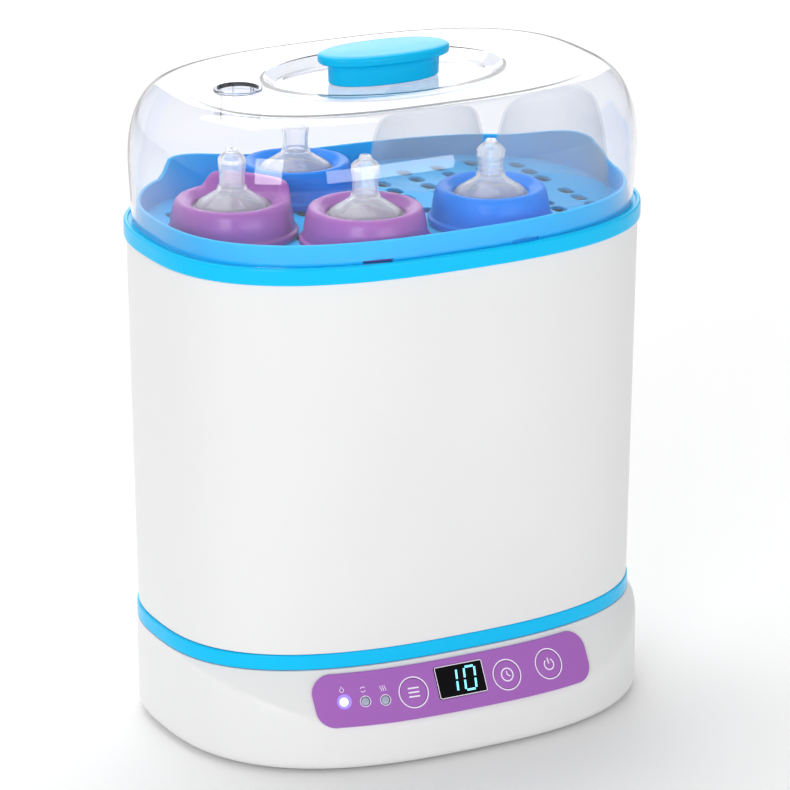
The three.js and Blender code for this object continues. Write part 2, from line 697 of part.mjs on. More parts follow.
function wallTop(angle) {
  const turn = angle > 1.5 * Math.PI ? angle - 2 * Math.PI : angle
  const swell = EARS.map(({ angle: peak, rise, front, back }) => {
    const behind = (turn - peak) * (back - peak) > 0
    const reach = Math.abs((behind ? back : front) - peak)
    return rise * (1 - THREE.MathUtils.smoothstep(Math.abs(turn - peak), 0, reach))
  })
  return TRAY_WALL_TOP + swell[0] + swell[1]
}

const TRAY_SHEET = 2
// Each drain is a low slot with a shallow recess above it in the wall's outside.
const DRAINS = { starts: [-54, 28], width: 16, low: 265.2, slotTop: 267, high: 269.4, recess: 0.9 }

function drains() {
  const { starts, width, low, slotTop, high, recess } = DRAINS
  const drum = (d, from, to) => loft([ring(inset(TRAY, d), from), ring(inset(TRAY, d), to)])
  const skin = cut(drum(-1, low, high), [drum(recess, low - 1, high + 1)])
  const slab = (x, top) => box([x, -TRAY.b - 2, low], [x + width, -TRAY.b + 12, top])
  return starts.flatMap(x => [overlap(skin, slab(x, high + 2)), slab(x, slotTop)])
}

function upperTray() {
  const foot = CHANNEL_FLOOR + GAP
  const inner = inset(TRAY, TRAY_SHEET)
  const tub = loft([
    ring(inset(TRAY, 0.6), foot), ring(TRAY, foot + 0.6),
    ring(TRAY, wallTop), ring(inner, wallTop), ring(inner, TRAY_FLOOR),
  ])
  return cut(tub, [...steamSlots(7, 5, 60, foot - 1, TRAY_FLOOR + 1), ...drains()])
}

add('upper_tray', upperTray(), COLOURS.cyan, { roughness: 0.3 })

// ---------------------------------------------------------------- lid and knob

const SHOULDER = { low: 296.2, inset: 22, power: 2.235, steps: 6 }

// Rings of the lid's outside, or of its inside when `d` is the wall thickness.
function domeRings(d) {
  const { low, inset: reach, power, steps } = SHOULDER
  return Array.from({ length: steps + 1 }, (_, i) => {
    const angle = (i * Math.PI) / (2 * steps)
    const inwards = reach * (1 - Math.cos(angle) ** (2 / power))
    const z = low + (LID_TOP - low) * Math.sin(angle) ** (2 / power)
    const share = inwards / reach
    return ring({ ...inset(LID, inwards + d), power: LID.power }, z - d * share)
  })
}

function lid() {
  const foot = LID_SEAT + GAP
  const crown = LID_TOP + 0.6             // the plateau rises a little towards the recess
  const recessFloor = LID_TOP - RECESS_DEPTH
  const middle = { a: 20, b: 12, power: 2 }
  const shell = loft([
    ring(inset(LID_FOOT, LID_WALL), foot), ring(inset(LID_FOOT, 0.4), foot), ring(LID_FOOT, RING_TOP),
    ...domeRings(0),
    ring(RECESS_RIM, crown), ring(RECESS_FLOOR, recessFloor), ring(middle, recessFloor),
  ])
  const hollow = loft([
    ring(inset(LID_FOOT, LID_WALL), foot - 1), ring(inset(LID_FOOT, LID_WALL), RING_TOP),
    ...domeRings(LID_WALL),
    ring(inset(RECESS_RIM, -LID_WALL), crown - LID_WALL),
    ring(inset(RECESS_FLOOR, -LID_WALL), recessFloor - LID_WALL),
    ring(middle, recessFloor - LID_WALL),
  ])
  const tube = cylinder(VENT.outer, VENT.low, LID_TOP + 1, VENT.x, 0)
  const bore = cylinder(VENT.inner, VENT.low - 1, LID_TOP + 3, VENT.x, 0)
  return cut(join(cut(shell, [hollow]), [tube]), [bore])
}

add('lid', lid(), COLOURS.clear, { roughness: 0.05, opacity: 0.25 })

const KNOB = { stem: { a: 30.4, b: 14.7 }, cap: { a: 36.2, b: 17.7 }, capLow: 345, top: 350.6 }

function knob() {
  const foot = LID_TOP - RECESS_DEPTH + GAP
  const { stem, cap, capLow, top } = KNOB
  const oval = (plan, z) => ring({ ...plan, power: 2.2 }, z, 32)
  return loft([
    oval(stem, foot), oval(stem, capLow - 1.5), oval(inset(cap, 2), capLow), oval(cap, capLow + 1),
    oval(cap, top - 1.6), oval(inset(cap, 1.2), top - 0.4), oval(inset(cap, 4), top),
  ])
}

add('lid_knob', knob(), COLOURS.cyan, { roughness: 0.3 })

// ---------------------------------------------------------------- collars, teats and hoods

const COLLAR_PROFILE = [
  [28.4, 0], [33.3, 0], [33.3, 3.4], [31.4, 5], [30.4, 12.5], [26.6, 18.6], [22, 18.4],
  [19.7, 16], [19.7, 14.8], [28.4, 14.8], [28.4, 0],
]

function collar(scale) {
  return turned(COLLAR_PROFILE.map(([r, z]) => [r * scale, z]), 18)
}

// A collar whose rim rises on one side into two rounded lobes.
const LOBE = { angle: 0.62, half: 0.85, rise: 6.5 }

function lobedCollar() {
  const geometry = collar(1)
  const position = geometry.attributes.position
  for (let i = 0; i < position.count; i++) {
    const [x, y, z] = [position.getX(i), position.getY(i), position.getZ(i)]
    const radius = Math.hypot(x, y)
    const away = Math.abs(Math.atan2(y, x) - LOBE.angle)
    const lobe = 1 - THREE.MathUtils.smoothstep(away, LOBE.half, LOBE.half + 0.35)
    const onTop = z > 17 && radius > 20 ? 1 : 0
    position.setZ(i, z + LOBE.rise * lobe * onTop)
  }
  return geometry
}

// A teat: a flange held under the collar, a flared skirt, a neck and a bulb, all one skin.
function teat(height) {
  const skin = 1.6
  const outside = [
    [24.5, 12], [24.5, 14.2], [19, 14.4], [13.5, 19], [7.2, 23.4],
    [6.5, height - 13], [7.2, height - 6], [4, height], [0, height],
  ]
  const inside = [
    [0, height - skin], [3.4, height - skin], [5.4, height - 7], [4.9, 22.6], [17, 12],
  ]
  return turned([...outside, ...inside, [24.5, 12]], 11)
}

PURPLE_COLLARS.forEach(([x, y], i) => {
  const shape = i === 0 ? lobedCollar() : collar(1)
  const piece = add(`purple_collar_${i + 1}`, shape, COLOURS.purple, { roughness: 0.35 })
  piece.position.set(x, y, FIXTURE_FLOOR)
})
BLUE_COLLARS.forEach(([x, y], i) => {
  const piece = add(`blue_collar_${i + 1}`, collar(BLUE_SCALE), COLOURS.blue, { roughness: 0.35 })
  piece.position.set(x, y, FIXTURE_FLOOR)
})

TEAT_HEIGHTS.forEach((height, i) => {
  const [x, y] = COLLARS[i]
  const piece = add(`teat_${i + 1}`, teat(height), COLOURS.clear, { roughness: 0.2, opacity: 0.6 })
  piece.position.set(x, y, FIXTURE_FLOOR)
})

function hood(height) {
  const skin = 1.4
  const outside = [
    [HOOD_RIM, 0], [HOOD_RIM, 4], [28.6, height * 0.5], [24.4, height * 0.8],
    [16, height * 0.96], [8, height], [0, height],
  ]
  const inside = [
    [0, height - skin], [8, height - skin], [15, height * 0.96 - skin],
    [22.8, height * 0.8 - 0.6], [28.6 - skin, height * 0.5], [HOOD_RIM - skin, 4],
  ]
  return turned([...outside, ...inside, [HOOD_RIM - skin, 0], [HOOD_RIM, 0]], 14)
}

HOODS.forEach(({ at: [x, y], height }, i) => {
  const piece = add(`hood_${i + 1}`, hood(height), COLOURS.clear, { roughness: 0.5, opacity: 0.5 })
  piece.position.set(x, y, FIXTURE_FLOOR)
})

const group = new THREE.Group()
group.add(appliance)
export default group
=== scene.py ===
"""Looks of an electric bottle sterilizer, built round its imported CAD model.

Shapes are worked out in millimetres and become metres when a mesh is made. The front of
the appliance faces -Y, and the body's axis lies BODY_Y behind the origin.
"""

import math

import bmesh
import bpy
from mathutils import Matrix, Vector
from mathutils.geometry import delaunay_2d_cdt


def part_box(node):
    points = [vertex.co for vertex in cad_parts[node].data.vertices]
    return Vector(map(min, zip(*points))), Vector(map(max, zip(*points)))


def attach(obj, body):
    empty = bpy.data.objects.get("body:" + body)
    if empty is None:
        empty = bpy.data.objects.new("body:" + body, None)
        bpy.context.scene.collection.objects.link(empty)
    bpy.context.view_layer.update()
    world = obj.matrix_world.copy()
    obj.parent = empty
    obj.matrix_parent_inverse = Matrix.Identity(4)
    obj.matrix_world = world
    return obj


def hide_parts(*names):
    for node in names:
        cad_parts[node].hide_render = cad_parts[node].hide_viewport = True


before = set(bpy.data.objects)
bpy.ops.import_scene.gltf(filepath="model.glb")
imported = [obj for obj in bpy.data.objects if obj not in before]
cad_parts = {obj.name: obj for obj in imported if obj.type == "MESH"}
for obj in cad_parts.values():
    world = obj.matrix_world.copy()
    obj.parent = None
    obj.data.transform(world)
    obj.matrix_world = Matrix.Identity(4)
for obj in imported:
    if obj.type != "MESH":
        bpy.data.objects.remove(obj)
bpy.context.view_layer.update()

# ---- sizes from the CAD nodes

MM = 0.001
GAP = 0.3                              # between neighbouring pieces
AXIS = 0.01                            # where a turned profile starts beside its axis


def span(node):
    """Lowest corner, highest corner and centre of a CAD node, in millimetres."""
    low, high = (Vector(corner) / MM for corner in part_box(node))
    return low, high, (low + high) / 2


def half_axes(node):
    low, high, _ = span(node)
    return {"a": (high.x - low.x) / 2, "b": (high.y - low.y) / 2}


PLAN_POWER = 2.6                       # the plan is a superellipse of this power
SIDES = 168                            # points round the plan outline
BODY_Y = span("body_shell")[2].y
WALL = 2.4

TRIM = half_axes("base_trim_ring")
RING = half_axes("body_top_ring")
TRAY = half_axes("upper_tray")
SHELL_HEAD = half_axes("body_shell")
SHELL_FOOT = {"a": SHELL_HEAD["a"] - 2.8, "b": SHELL_HEAD["b"] - 2.8}
LID = {**half_axes("lid"), "power": 2.75}
LID_FOOT = {"a": LID["a"] - 0.2, "b": LID["b"] - 0.1}

BASE_FLOOR = span("base_housing")[0].z
UPSTAND_TOP = span("base_housing")[1].z
BASE_BULGE = BODY_Y - span("base_housing")[0].y
BASE_TOP = span("base_trim_ring")[0].z - GAP
TRIM_LOW, TRIM_TOP = (corner.z for corner in span("base_trim_ring")[:2])
SHELL_LOW, SHELL_TOP = (corner.z for corner in span("body_shell")[:2])
RING_LOW, RING_TOP = SHELL_TOP + GAP, span("body_top_ring")[1].z
CHANNEL_FLOOR = span("upper_tray")[0].z - GAP
LID_LOW = span("lid")[0].z
LID_SEAT = LID_LOW - GAP
TRAY_FLOOR = span("purple_collar_1")[0].z - GAP
TRAY_WALL_TOP = 276.4
LID_TOP = span("lid")[1].z - 1.0
VENT = {"x": -82.0, "outer": 12.4, "inner": 10.4, "low": 325.5}


# ---- outlines and profiles

def plan_point(angle, plan):
    """A point of a superellipse; front is the half-depth where y is negative."""
    c, s = math.cos(angle), math.sin(angle)
    power = 2 / plan.get("power", PLAN_POWER)
    depth = plan.get("front", plan["b"]) if s < 0 else plan["b"]
    return plan["a"] * math.copysign(abs(c) ** power, c), depth * math.copysign(abs(s) ** power, s)


def even_angles(plan, count):
    """Angles that place points at even steps round an outline."""
    dense = [2 * math.pi * i / 4000 for i in range(4001)]
    points = [Vector(plan_point(angle, plan)) for angle in dense]
    lengths = [0.0]
    for here, there in zip(points, points[1:]):
        lengths.append(lengths[-1] + (there - here).length)
    angles, k = [], 0
    for i in range(count):
        target = lengths[-1] * i / count
        while lengths[k + 1] < target:
            k += 1
        share = (target - lengths[k]) / (lengths[k + 1] - lengths[k])
        angles.append(dense[k] + share * (dense[k + 1] - dense[k]))
    return angles


ANGLES = even_angles(TRIM, SIDES)


def inset(plan, d):
    return {key: value if key == "power" else value - d for key, value in plan.items()}


def arch(share):
    """Height of a unit superellipse over a share of its half-width."""
    return max(0.0, 1 - min(1.0, abs(share)) ** PLAN_POWER) ** (1 / PLAN_POWER)


def ring(plan, z, angles=ANGLES):
    """A ring of points round a plan; z may be a function of the angle."""
    height = z if callable(z) else lambda angle: z
    return [(*plan_point(angle, plan), height(angle)) for angle in angles]


def arc_points(x, y, radius, start, end, steps=24):
    turns = [start + (end - start) * k / steps for k in range(steps + 1)]
    return [(x + radius * math.cos(turn), y + radius * math.sin(turn)) for turn in turns]


def loop_round(x, y, radius, sides=40):
    return arc_points(x, y, radius, 0, 2 * math.pi, sides)[:-1]


def circle(radius, z, sides=64):
    return [(x, y, z) for x, y in loop_round(0, 0, radius, sides)]


def bend(start, middle, end, steps):
    """Points of a smooth bend that leans towards its middle."""
    return [tuple((1 - t) ** 2 * start + 2 * t * (1 - t) * middle + t ** 2 * end)
            for t in (k / steps for k in range(steps + 1))]


def rounded(corners, closed=False, steps=5):
    """Rounds the corners of a profile of (u, v, radius) points."""
    points = []
    count = len(corners)
    for i, (u, v, radius) in enumerate(corners):
        here = Vector((u, v))
        if radius == 0 or (not closed and i in (0, count - 1)):
            points.append((u, v))
            continue
        before = Vector(corners[i - 1][:2]) - here
        after = Vector(corners[(i + 1) % count][:2]) - here
        start = here + before.normalized() * min(radius, before.length * 0.49)
        end = here + after.normalized() * min(radius, after.length * 0.49)
        points += bend(start, here, end, steps)
    return points


# ---- meshes

def new_object(name, vertices, faces, material, at=(0, BODY_Y, 0), sharp=32):
    """Makes a smooth-shaded mesh from millimetre points, placed at a point of the frame."""
    mesh = bpy.data.meshes.new(name)
    offset = Vector(at)
    mesh.from_pydata([(Vector(v) + offset) * MM for v in vertices], [], faces)
    mesh.validate()
    mesh.polygons.foreach_set("use_smooth", [True] * len(mesh.polygons))
    mesh.set_sharp_from_angle(angle=math.radians(sharp))
    obj = bpy.data.objects.new(name, mesh)
    bpy.context.scene.collection.objects.link(obj)
    obj.data.materials.append(material)
    normals = obj.modifiers.new("normals", "WEIGHTED_NORMAL")
    normals.keep_sharp = True
    return obj


def band_faces(start, step, sides):
    """Quads between two rows of points: one begins at start, the next one step later."""
    return [(start + i, start + (i + 1) % sides, start + step + (i + 1) % sides, start + step + i)
            for i in range(sides)]


def loft_data(rings, closed=False):
    """Vertices and faces of a skin over rings of points that run round anticlockwise, bottom first."""
    sides = len(rings[0])
    vertices = [point for points in rings for point in points]
    spans = len(rings) if closed else len(rings) - 1
    faces = []
    for r in range(spans):
        faces += band_faces(r * sides, ((r + 1) % len(rings) - r) * sides, sides)
    if not closed:
        last = (len(rings) - 1) * sides
        for points, start, flip in ((rings[0], 0, True), (rings[-1], last, False)):
            centre = len(vertices)
            vertices.append(tuple(sum(p[k] for p in points) / sides for k in range(3)))
            for i in range(sides):
                j = (i + 1) % sides
                faces.append((centre, start + j, start + i) if flip else (centre, start + i, start + j))
    return vertices, faces


def loft(name, rings, material, closed=False, **place):
    return new_object(name, *loft_data(rings, closed), material, **place)


def banded(plan, profile):
    """Rings for a profile of (inset, z) points round one plan."""
    return [ring(inset(plan, d), z) for d, z in profile]


def turned(name, profile, material, centre, closed=True, sides=72, **place):
    """A round piece from (radius, z) points that run outwards from the bottom up."""
    return loft(name, [circle(r, z, sides) for r, z in profile], material, closed, at=centre, **place)


def joined(name, pieces):
    """Joins objects into the first one, under a new name."""
    data = bmesh.new()
    for piece in pieces:
        data.from_mesh(piece.data)
    first = pieces[0]
    data.to_mesh(first.data)
    data.free()
    for piece in pieces[1:]:
        bpy.data.objects.remove(piece)
    first.name = name
    return first


def carve(obj, cutters):
    """Cuts the cutters out of obj and deletes them."""
    for cutter in cutters:
        cutter.modifiers.clear()
        cut = obj.modifiers.new("cut", "BOOLEAN")
        cut.operation = "DIFFERENCE"
        cut.solver = "EXACT"
        cut.object = cutter
    shown = obj.evaluated_get(bpy.context.evaluated_depsgraph_get())
    mesh = bpy.data.meshes.new_from_object(shown)
    mesh.set_sharp_from_angle(angle=math.radians(32))
    obj.modifiers.clear()
    obj.data = mesh
    for cutter in cutters:
        bpy.data.objects.remove(cutter)
    obj.modifiers.new("normals", "WEIGHTED_NORMAL").keep_sharp = True
    return obj


def block(low, high, material, at=(0, BODY_Y, 0)):
    """A plain cutter between two corners."""
    (x0, y0, z0), (x1, y1, z1) = low, high
    vertices = [(x, y, z) for z in (z0, z1) for x, y in ((x0, y0), (x1, y0), (x1, y1), (x0, y1))]
    return new_object("cutter", *loft_data([vertices[:4], vertices[4:]]), material, at=at)


def inside(point, polygon):
    """True if a 2-D point lies inside a polygon."""
    x, y = point
    hits = 0
    for (x0, y0), (x1, y1) in zip(polygon, polygon[1:] + polygon[:1]):
        if (y0 > y) != (y1 > y) and x < x0 + (y - y0) * (x1 - x0) / (y1 - y0):
            hits += 1
    return hits % 2 == 1


def offset_loop(loop, d):
    """Moves a loop inwards by d along its corners' normals; the loop runs anticlockwise."""
    moved = []
    count = len(loop)
    for i in range(count):
        before, here, after = (Vector(loop[k % count]) for k in (i - 1, i, i + 1))
        along = (after - before).normalized()
        moved.append((here.x - along.y * d, here.y + along.x * d))
    return moved


def filled(outer, holes, pitch):
    """Triangles between an outline and its holes, with a grid of extra points inside."""
    loops = [outer, *holes]
    points = [Vector(p) for loop in loops for p in loop]
    edges, start = [], 0
    for loop in loops:
        edges += [(start + i, start + (i + 1) % len(loop)) for i in range(len(loop))]
        start += len(loop)
    if pitch:
        xs = [p[0] for p in outer]
        ys = [p[1] for p in outer]
        margin = pitch * 0.4
        keep_in = offset_loop(outer, margin)
        keep_out = [offset_loop(hole, -margin) for hole in holes]
        for i in range(int((max(xs) - min(xs)) / pitch) + 1):
            for j in range(int((max(ys) - min(ys)) / pitch) + 1):
                spot = (min(xs) + (i + 0.5) * pitch, min(ys) + (j + 0.5) * pitch)
                if inside(spot, keep_in) and not any(inside(spot, hole) for hole in keep_out):
                    points.append(Vector(spot))
    made, _, faces, *_ = delaunay_2d_cdt(points, edges, [], 0, 1e-5)
    kept = []
    for face in faces:
        middle = sum((made[i] for i in face), Vector((0, 0))) / len(face)
        if inside(middle, outer) and not any(inside(middle, hole) for hole in holes):
            kept.append(tuple(face))
    return [tuple(p) for p in made], kept


def plate(name, outer, holes, place, low, high, edge, material, pitch=0, at=(0, BODY_Y, 0)):
    """A sheet between two heights with rounded edges. The outline and the holes run anticlockwise,
    and place(u, v, h) gives the point of a surface at height h above (u, v)."""
    loops = [(outer, 1), *((hole, -1) for hole in holes)]
    top_outer = offset_loop(outer, edge)
    top_holes = [offset_loop(hole, -edge) for hole in holes]
    points, faces = filled(top_outer, top_holes, pitch)
    vertices = [place(u, v, h) for h in (high, low) for u, v in points]
    count = len(points)
    skin = list(faces) + [tuple(count + i for i in reversed(face)) for face in faces]
    for loop, side in loops:
        rows = [(offset_loop(loop, side * edge), low), (loop, low + edge), (loop, high - edge),
                (offset_loop(loop, side * edge), high)]
        if side < 0:
            rows = rows[::-1]
        for row, (points, h) in enumerate(rows):
            if row < len(rows) - 1:
                skin += band_faces(len(vertices), len(loop), len(loop))
            vertices += [place(u, v, h) for u, v in points]
    obj = new_object(name, vertices, skin, material, at=at)
    weld(obj)
    return obj


def weld(obj):
    """Merges points that coincide, so that walls and faces share their edges."""
    data = bmesh.new()
    data.from_mesh(obj.data)
    bmesh.ops.remove_doubles(data, verts=data.verts, dist=1e-7)
    bmesh.ops.recalc_face_normals(data, faces=data.faces)
    data.to_mesh(obj.data)
    data.free()
    obj.data.set_sharp_from_angle(angle=math.radians(32))


def loop_box(x, y, width, height, corner, steps=6):
    """An anticlockwise rounded rectangle round (x, y)."""
    points = []
    for quarter, (sx, sy) in enumerate(((1, 1), (-1, 1), (-1, -1), (1, -1))):
        cx, cy = x + sx * (width / 2 - corner), y + sy * (height / 2 - corner)
        for k in range(steps + 1):
            angle = (quarter + k / steps) * math.pi / 2
            points.append((cx + corner * math.cos(angle), cy + corner * math.sin(angle)))
    return points


def flat(u, v, h):
    return u, v, h


# ---- materials

def wire(tree, node, inputs):
    """Gives a node's inputs their values or links."""
    for name, value in inputs.items():
        if isinstance(value, bpy.types.NodeSocket):
            tree.links.new(value, node.inputs[name])
        else:
            node.inputs[name].default_value = value
    return node


def new_node(tree, kind, **inputs):
    named = {name.replace("_", " "): value for name, value in inputs.items()}
    return wire(tree, tree.nodes.new("ShaderNode" + kind), named)


def node_material(name):
    """A material with its tree, its Principled shader and an object-space coordinate."""
    material = bpy.data.materials.new(name)
    material.use_nodes = True
    tree = material.node_tree
    return material, tree, tree.nodes["Principled BSDF"], new_node(tree, "TexCoord").outputs["Object"]


def noise(tree, coordinate, scale, detail=3.0, stretch=None):
    """The factor of a noise texture; scale is in features per metre."""
    if stretch:
        coordinate = new_node(tree, "Mapping", Vector=coordinate, Scale=stretch).outputs["Vector"]
    return new_node(tree, "TexNoise", Vector=coordinate, Scale=scale, Detail=detail).outputs["Fac"]


def ranged(tree, value, low, high):
    """Maps a 0 to 1 factor to a range."""
    return new_node(tree, "MapRange", Value=value, To_Min=low, To_Max=high).outputs["Result"]


def blended(tree, factor, first, second):
    """A colour between two, by a factor; the first may be a link."""
    node = tree.nodes.new("ShaderNodeMix")
    node.data_type = "RGBA"
    start = first if isinstance(first, bpy.types.NodeSocket) else (*first, 1)
    return wire(tree, node, {"Factor": factor, "A": start, "B": (*second, 1)}).outputs["Result"]


def bumped(tree, height, strength):
    """The normal of a surface with a fine relief."""
    return new_node(tree, "Bump", Height=height, Strength=strength, Distance=0.0002).outputs["Normal"]


def mixed_surface(tree, factor, first, second):
    """Ends a material with a mix of two shaders."""
    mixed = new_node(tree, "MixShader", Fac=factor)
    tree.links.new(first.outputs[0], mixed.inputs[1])
    tree.links.new(second.outputs[0], mixed.inputs[2])
    tree.links.new(mixed.outputs[0], tree.nodes["Material Output"].inputs["Surface"])


def shaded(colour, share):
    return tuple(c * share for c in colour)


def plastic(name, colour, roughness=0.3, texture=0.03, grain=900.0, specular=0.5):
    """Moulded plastic: a faint mottle in colour and gloss, and a fine moulded grain."""
    material, tree, shader, coordinate = node_material(name)
    wire(tree, shader, {
        "Base Color": blended(tree, noise(tree, coordinate, 14.0, 2.0), colour, shaded(colour, 0.965)),
        "Roughness": ranged(tree, noise(tree, coordinate, 55.0, 4.0), roughness * 0.88, roughness * 1.14),
        "Normal": bumped(tree, noise(tree, coordinate, grain, 2.0), texture),
        "Specular IOR Level": specular})
    return material


def metal(name, colour, roughness, stretch=(1.0, 1.0, 40.0)):
    """Brushed sheet metal: the brushing runs across the stretched axis."""
    material, tree, shader, coordinate = node_material(name)
    brushing = noise(tree, coordinate, 60.0, 6.0, stretch)
    wire(tree, shader, {
        "Base Color": blended(tree, brushing, colour, shaded(colour, 0.82)), "Metallic": 1.0,
        "Roughness": ranged(tree, brushing, roughness * 0.7, roughness * 1.4),
        "Normal": bumped(tree, brushing, 0.08)})
    return material


def glowing(name, colour, strength):
    """A marking that gives off light, a little uneven as a diffuser is: lit digits and LEDs, and also painted
    light on print and round an LED.
    """
    material, tree, shader, coordinate = node_material(name)
    shade = blended(tree, noise(tree, coordinate, 400.0, 1.0), colour, shaded(colour, 0.9))
    wire(tree, shader, {"Base Color": (*colour, 1), "Roughness": 0.4, "Emission Color": shade,
                        "Emission Strength": strength})
    return material


def glassy(name, tint, roughness, ior, grain=0.0, milk=0.0, rim=None):
    """Clear plastic that bends light, clouded by a share of milk, with a painted shade at its rim: darker and
    bluer where the wall is seen edge on.
    Shadow rays pass, so what is inside stays lit."""
    material, tree, shader, coordinate = node_material(name)
    shade = blended(tree, noise(tree, coordinate, 12.0, 2.0), tint, shaded(tint, 0.99))
    # The rim colour is painted shade: it stands in for the dark edges that the surroundings give through
    # refraction.
    if rim:
        facing = new_node(tree, "LayerWeight", Blend=0.12).outputs["Facing"]
        shade = blended(tree, facing, shade, rim)
    cloud = noise(tree, coordinate, 120.0, 2.0)
    wire(tree, shader, {
        "Base Color": shade, "IOR": ior, "Specular IOR Level": 0.32,
        "Roughness": ranged(tree, noise(tree, coordinate, 40.0, 3.0), roughness * 0.7, roughness * 1.3),
        "Transmission Weight": ranged(tree, cloud, 1 - milk * 1.3, 1 - milk * 0.7)})
    if grain:
        wire(tree, shader, {"Normal": bumped(tree, noise(tree, coordinate, 350.0, 2.0), grain)})
    window = new_node(tree, "BsdfTransparent", Color=(0.97, 0.975, 0.985, 1))
    mixed_surface(tree, new_node(tree, "LightPath").outputs["Is Shadow Ray"], shader, window)
    return material


def see_through(name, tint, haze, roughness, clear, edge, grain):
    """Frosted plastic: part of the light goes straight through, the rest meets a slightly milky
    skin that thickens where the wall is seen edge on."""
    material, tree, shader, coordinate = node_material(name)
    wire(tree, shader, {
        "Base Color": (*haze, 1), "IOR": 1.5,
        "Roughness": ranged(tree, noise(tree, coordinate, 40.0, 3.0), roughness * 0.8, roughness * 1.25),
        "Normal": bumped(tree, noise(tree, coordinate, 500.0, 2.0), grain)})
    mottle = noise(tree, coordinate, 9.0, 2.0)
    share = tree.nodes.new("ShaderNodeMath")
    share.operation = "MULTIPLY_ADD"
    share.use_clamp = True
    facing = new_node(tree, "LayerWeight", Blend=0.35).outputs["Facing"]
    wire(tree, share, {0: facing, 1: edge, 2: ranged(tree, mottle, (1 - clear) * 0.9, (1 - clear) * 1.1)})
    window = new_node(tree, "BsdfTransparent", Color=(*tint, 1))
    mixed_surface(tree, share.outputs[0], window, shader)
    return material


WHITE = plastic("white_shell", (0.84, 0.84, 0.84), 0.36, 0.02, specular=0.4)
CYAN = plastic("cyan_plastic", (0.0, 0.56, 0.97), 0.24, 0.02, specular=0.2)
TRAY_CYAN = plastic("tray_cyan", (0.0, 0.46, 0.90), 0.34, 0.03, specular=0.16)
PURPLE = plastic("purple_collar", (0.335, 0.105, 0.40), 0.24, 0.02, specular=0.25)
BLUE = plastic("blue_collar", (0.0, 0.21, 0.77), 0.24, 0.02, specular=0.12)
PANEL = plastic("panel_film", (0.41, 0.145, 0.54), 0.4, 0.06, 1600.0, specular=0.3)
BUTTON = plastic("button_film", (0.41, 0.145, 0.54), 0.38, 0.05, 1600.0, specular=0.3)
BLACK = plastic("window_black", (0.003, 0.003, 0.004), 0.08, 0.01, specular=0.15)
DARK = plastic("dark_plastic", (0.02, 0.02, 0.022), 0.5, 0.15)
GREY = plastic("grey_plastic", (0.42, 0.43, 0.46), 0.5, 0.15)
RUBBER = plastic("rubber", (0.03, 0.03, 0.032), 0.8, 0.3, 500.0)
BOARD = plastic("solder_mask", (0.01, 0.13, 0.045), 0.4, 0.1, 300.0)
STEEL = metal("steel", (0.62, 0.62, 0.64), 0.28)
COPPER = metal("copper", (0.75, 0.36, 0.2), 0.35)
LENS = plastic("led_lens", (0.42, 0.45, 0.6), 0.2, 0.02)
# Printed marks: the pale colour is print, and the faint glow on it is painted light.
PRINT_WITH_PAINTED_LIGHT = glowing("print_with_painted_light", (0.86, 0.78, 0.92), 0.15)
DIGIT = glowing("lit_digit", (0.22, 0.78, 0.92), 0.9)
LIT = glowing("lit_led", (0.55, 0.66, 1.0), 1.7)
# A painted pool of the lit LED's light on the panel round it.
PAINTED_LED_SPILL = glowing("painted_led_spill", (0.30, 0.2, 1.0), 0.7)
# The lid's rim colour is a painted edge shade.
CLEAR = glassy("clear_lid", (0.975, 0.978, 0.996), 0.015, 1.46, rim=(0.6, 0.62, 0.8))
SILICONE = glassy("silicone", (0.98, 0.985, 0.99), 0.05, 1.41, 0.1, milk=0.16)
FROSTED = see_through("frosted_hood", (0.985, 0.988, 0.992), (0.70, 0.71, 0.73), 0.4, 0.90, 0.14, 0.2)


def finish(obj, body, nodes=()):
    """Hangs a piece on its body's empty and hides the CAD nodes that it stands in for."""
    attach(obj, body)
    if nodes:
        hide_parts(*nodes)
    return obj


# ---- the sloped front face

CREASE_LOW = 22.3                      # height of the crease at the middle
CREASE_POWER = 3.2
EDGE_RADIUS = 6.0                      # rounding of the base's bottom edge
EDGE_TUCK = 5.5
CREASE_SOFTNESS = 3.5
BASE_WALL = 3.0
DECK = {"low": 43.4, "high": 46.0}
HEATER_HOLE = 57.0


def crease_height(x):
    return CREASE_LOW + (BASE_TOP - CREASE_LOW) * abs(x / TRIM["a"]) ** CREASE_POWER


def slope_point(x, t):
    """A point of the slope: t runs from the crease (0) to the trim ring (1)."""
    y = -arch(x / TRIM["a"]) * (BASE_BULGE * (1 - t) + TRIM["b"] * t)
    return Vector((x, y, crease_height(x) * (1 - t) + BASE_TOP * t))


def slope_axes(x, t=0.5):
    """Unit vectors along the face, up it and out of it."""
    along = (slope_point(x + 0.5, t) - slope_point(x - 0.5, t)).normalized()
    up = (slope_point(x, 1) - slope_point(x, 0)).normalized()
    out = along.cross(up).normalized()
    return along, out.cross(along), out


MIDDLE = slope_point(0, 0.5)
FACE_UP = slope_axes(0)[1]


def face_v(x, t):
    """How far up the middle frame of the face the point (x, t) lies."""
    return (slope_point(x, t) - MIDDLE).dot(FACE_UP)


def on_slope(x, v, h):
    """The point of the slope at x and v in the middle frame, lifted by h."""
    low, high = face_v(x, 0), face_v(x, 1)
    t = (v - low) / (high - low)
    return tuple(slope_point(x, t) + slope_axes(x, t)[2] * h)


def face_t(x, s):
    """How far up the slope a point lies that is s above the face's middle line."""
    return 0.5 + s / (slope_point(x, 1) - slope_point(x, 0)).length


def local_face(x, s=0.0):
    """A place function for a flat piece that lies on the slope at x, s above its middle line."""
    t = face_t(x, s)
    origin = slope_point(x, t)
    along, up, out = slope_axes(x, t)
    return lambda u, v, h: tuple(origin + along * u + up * v + out * h)


# ---- base

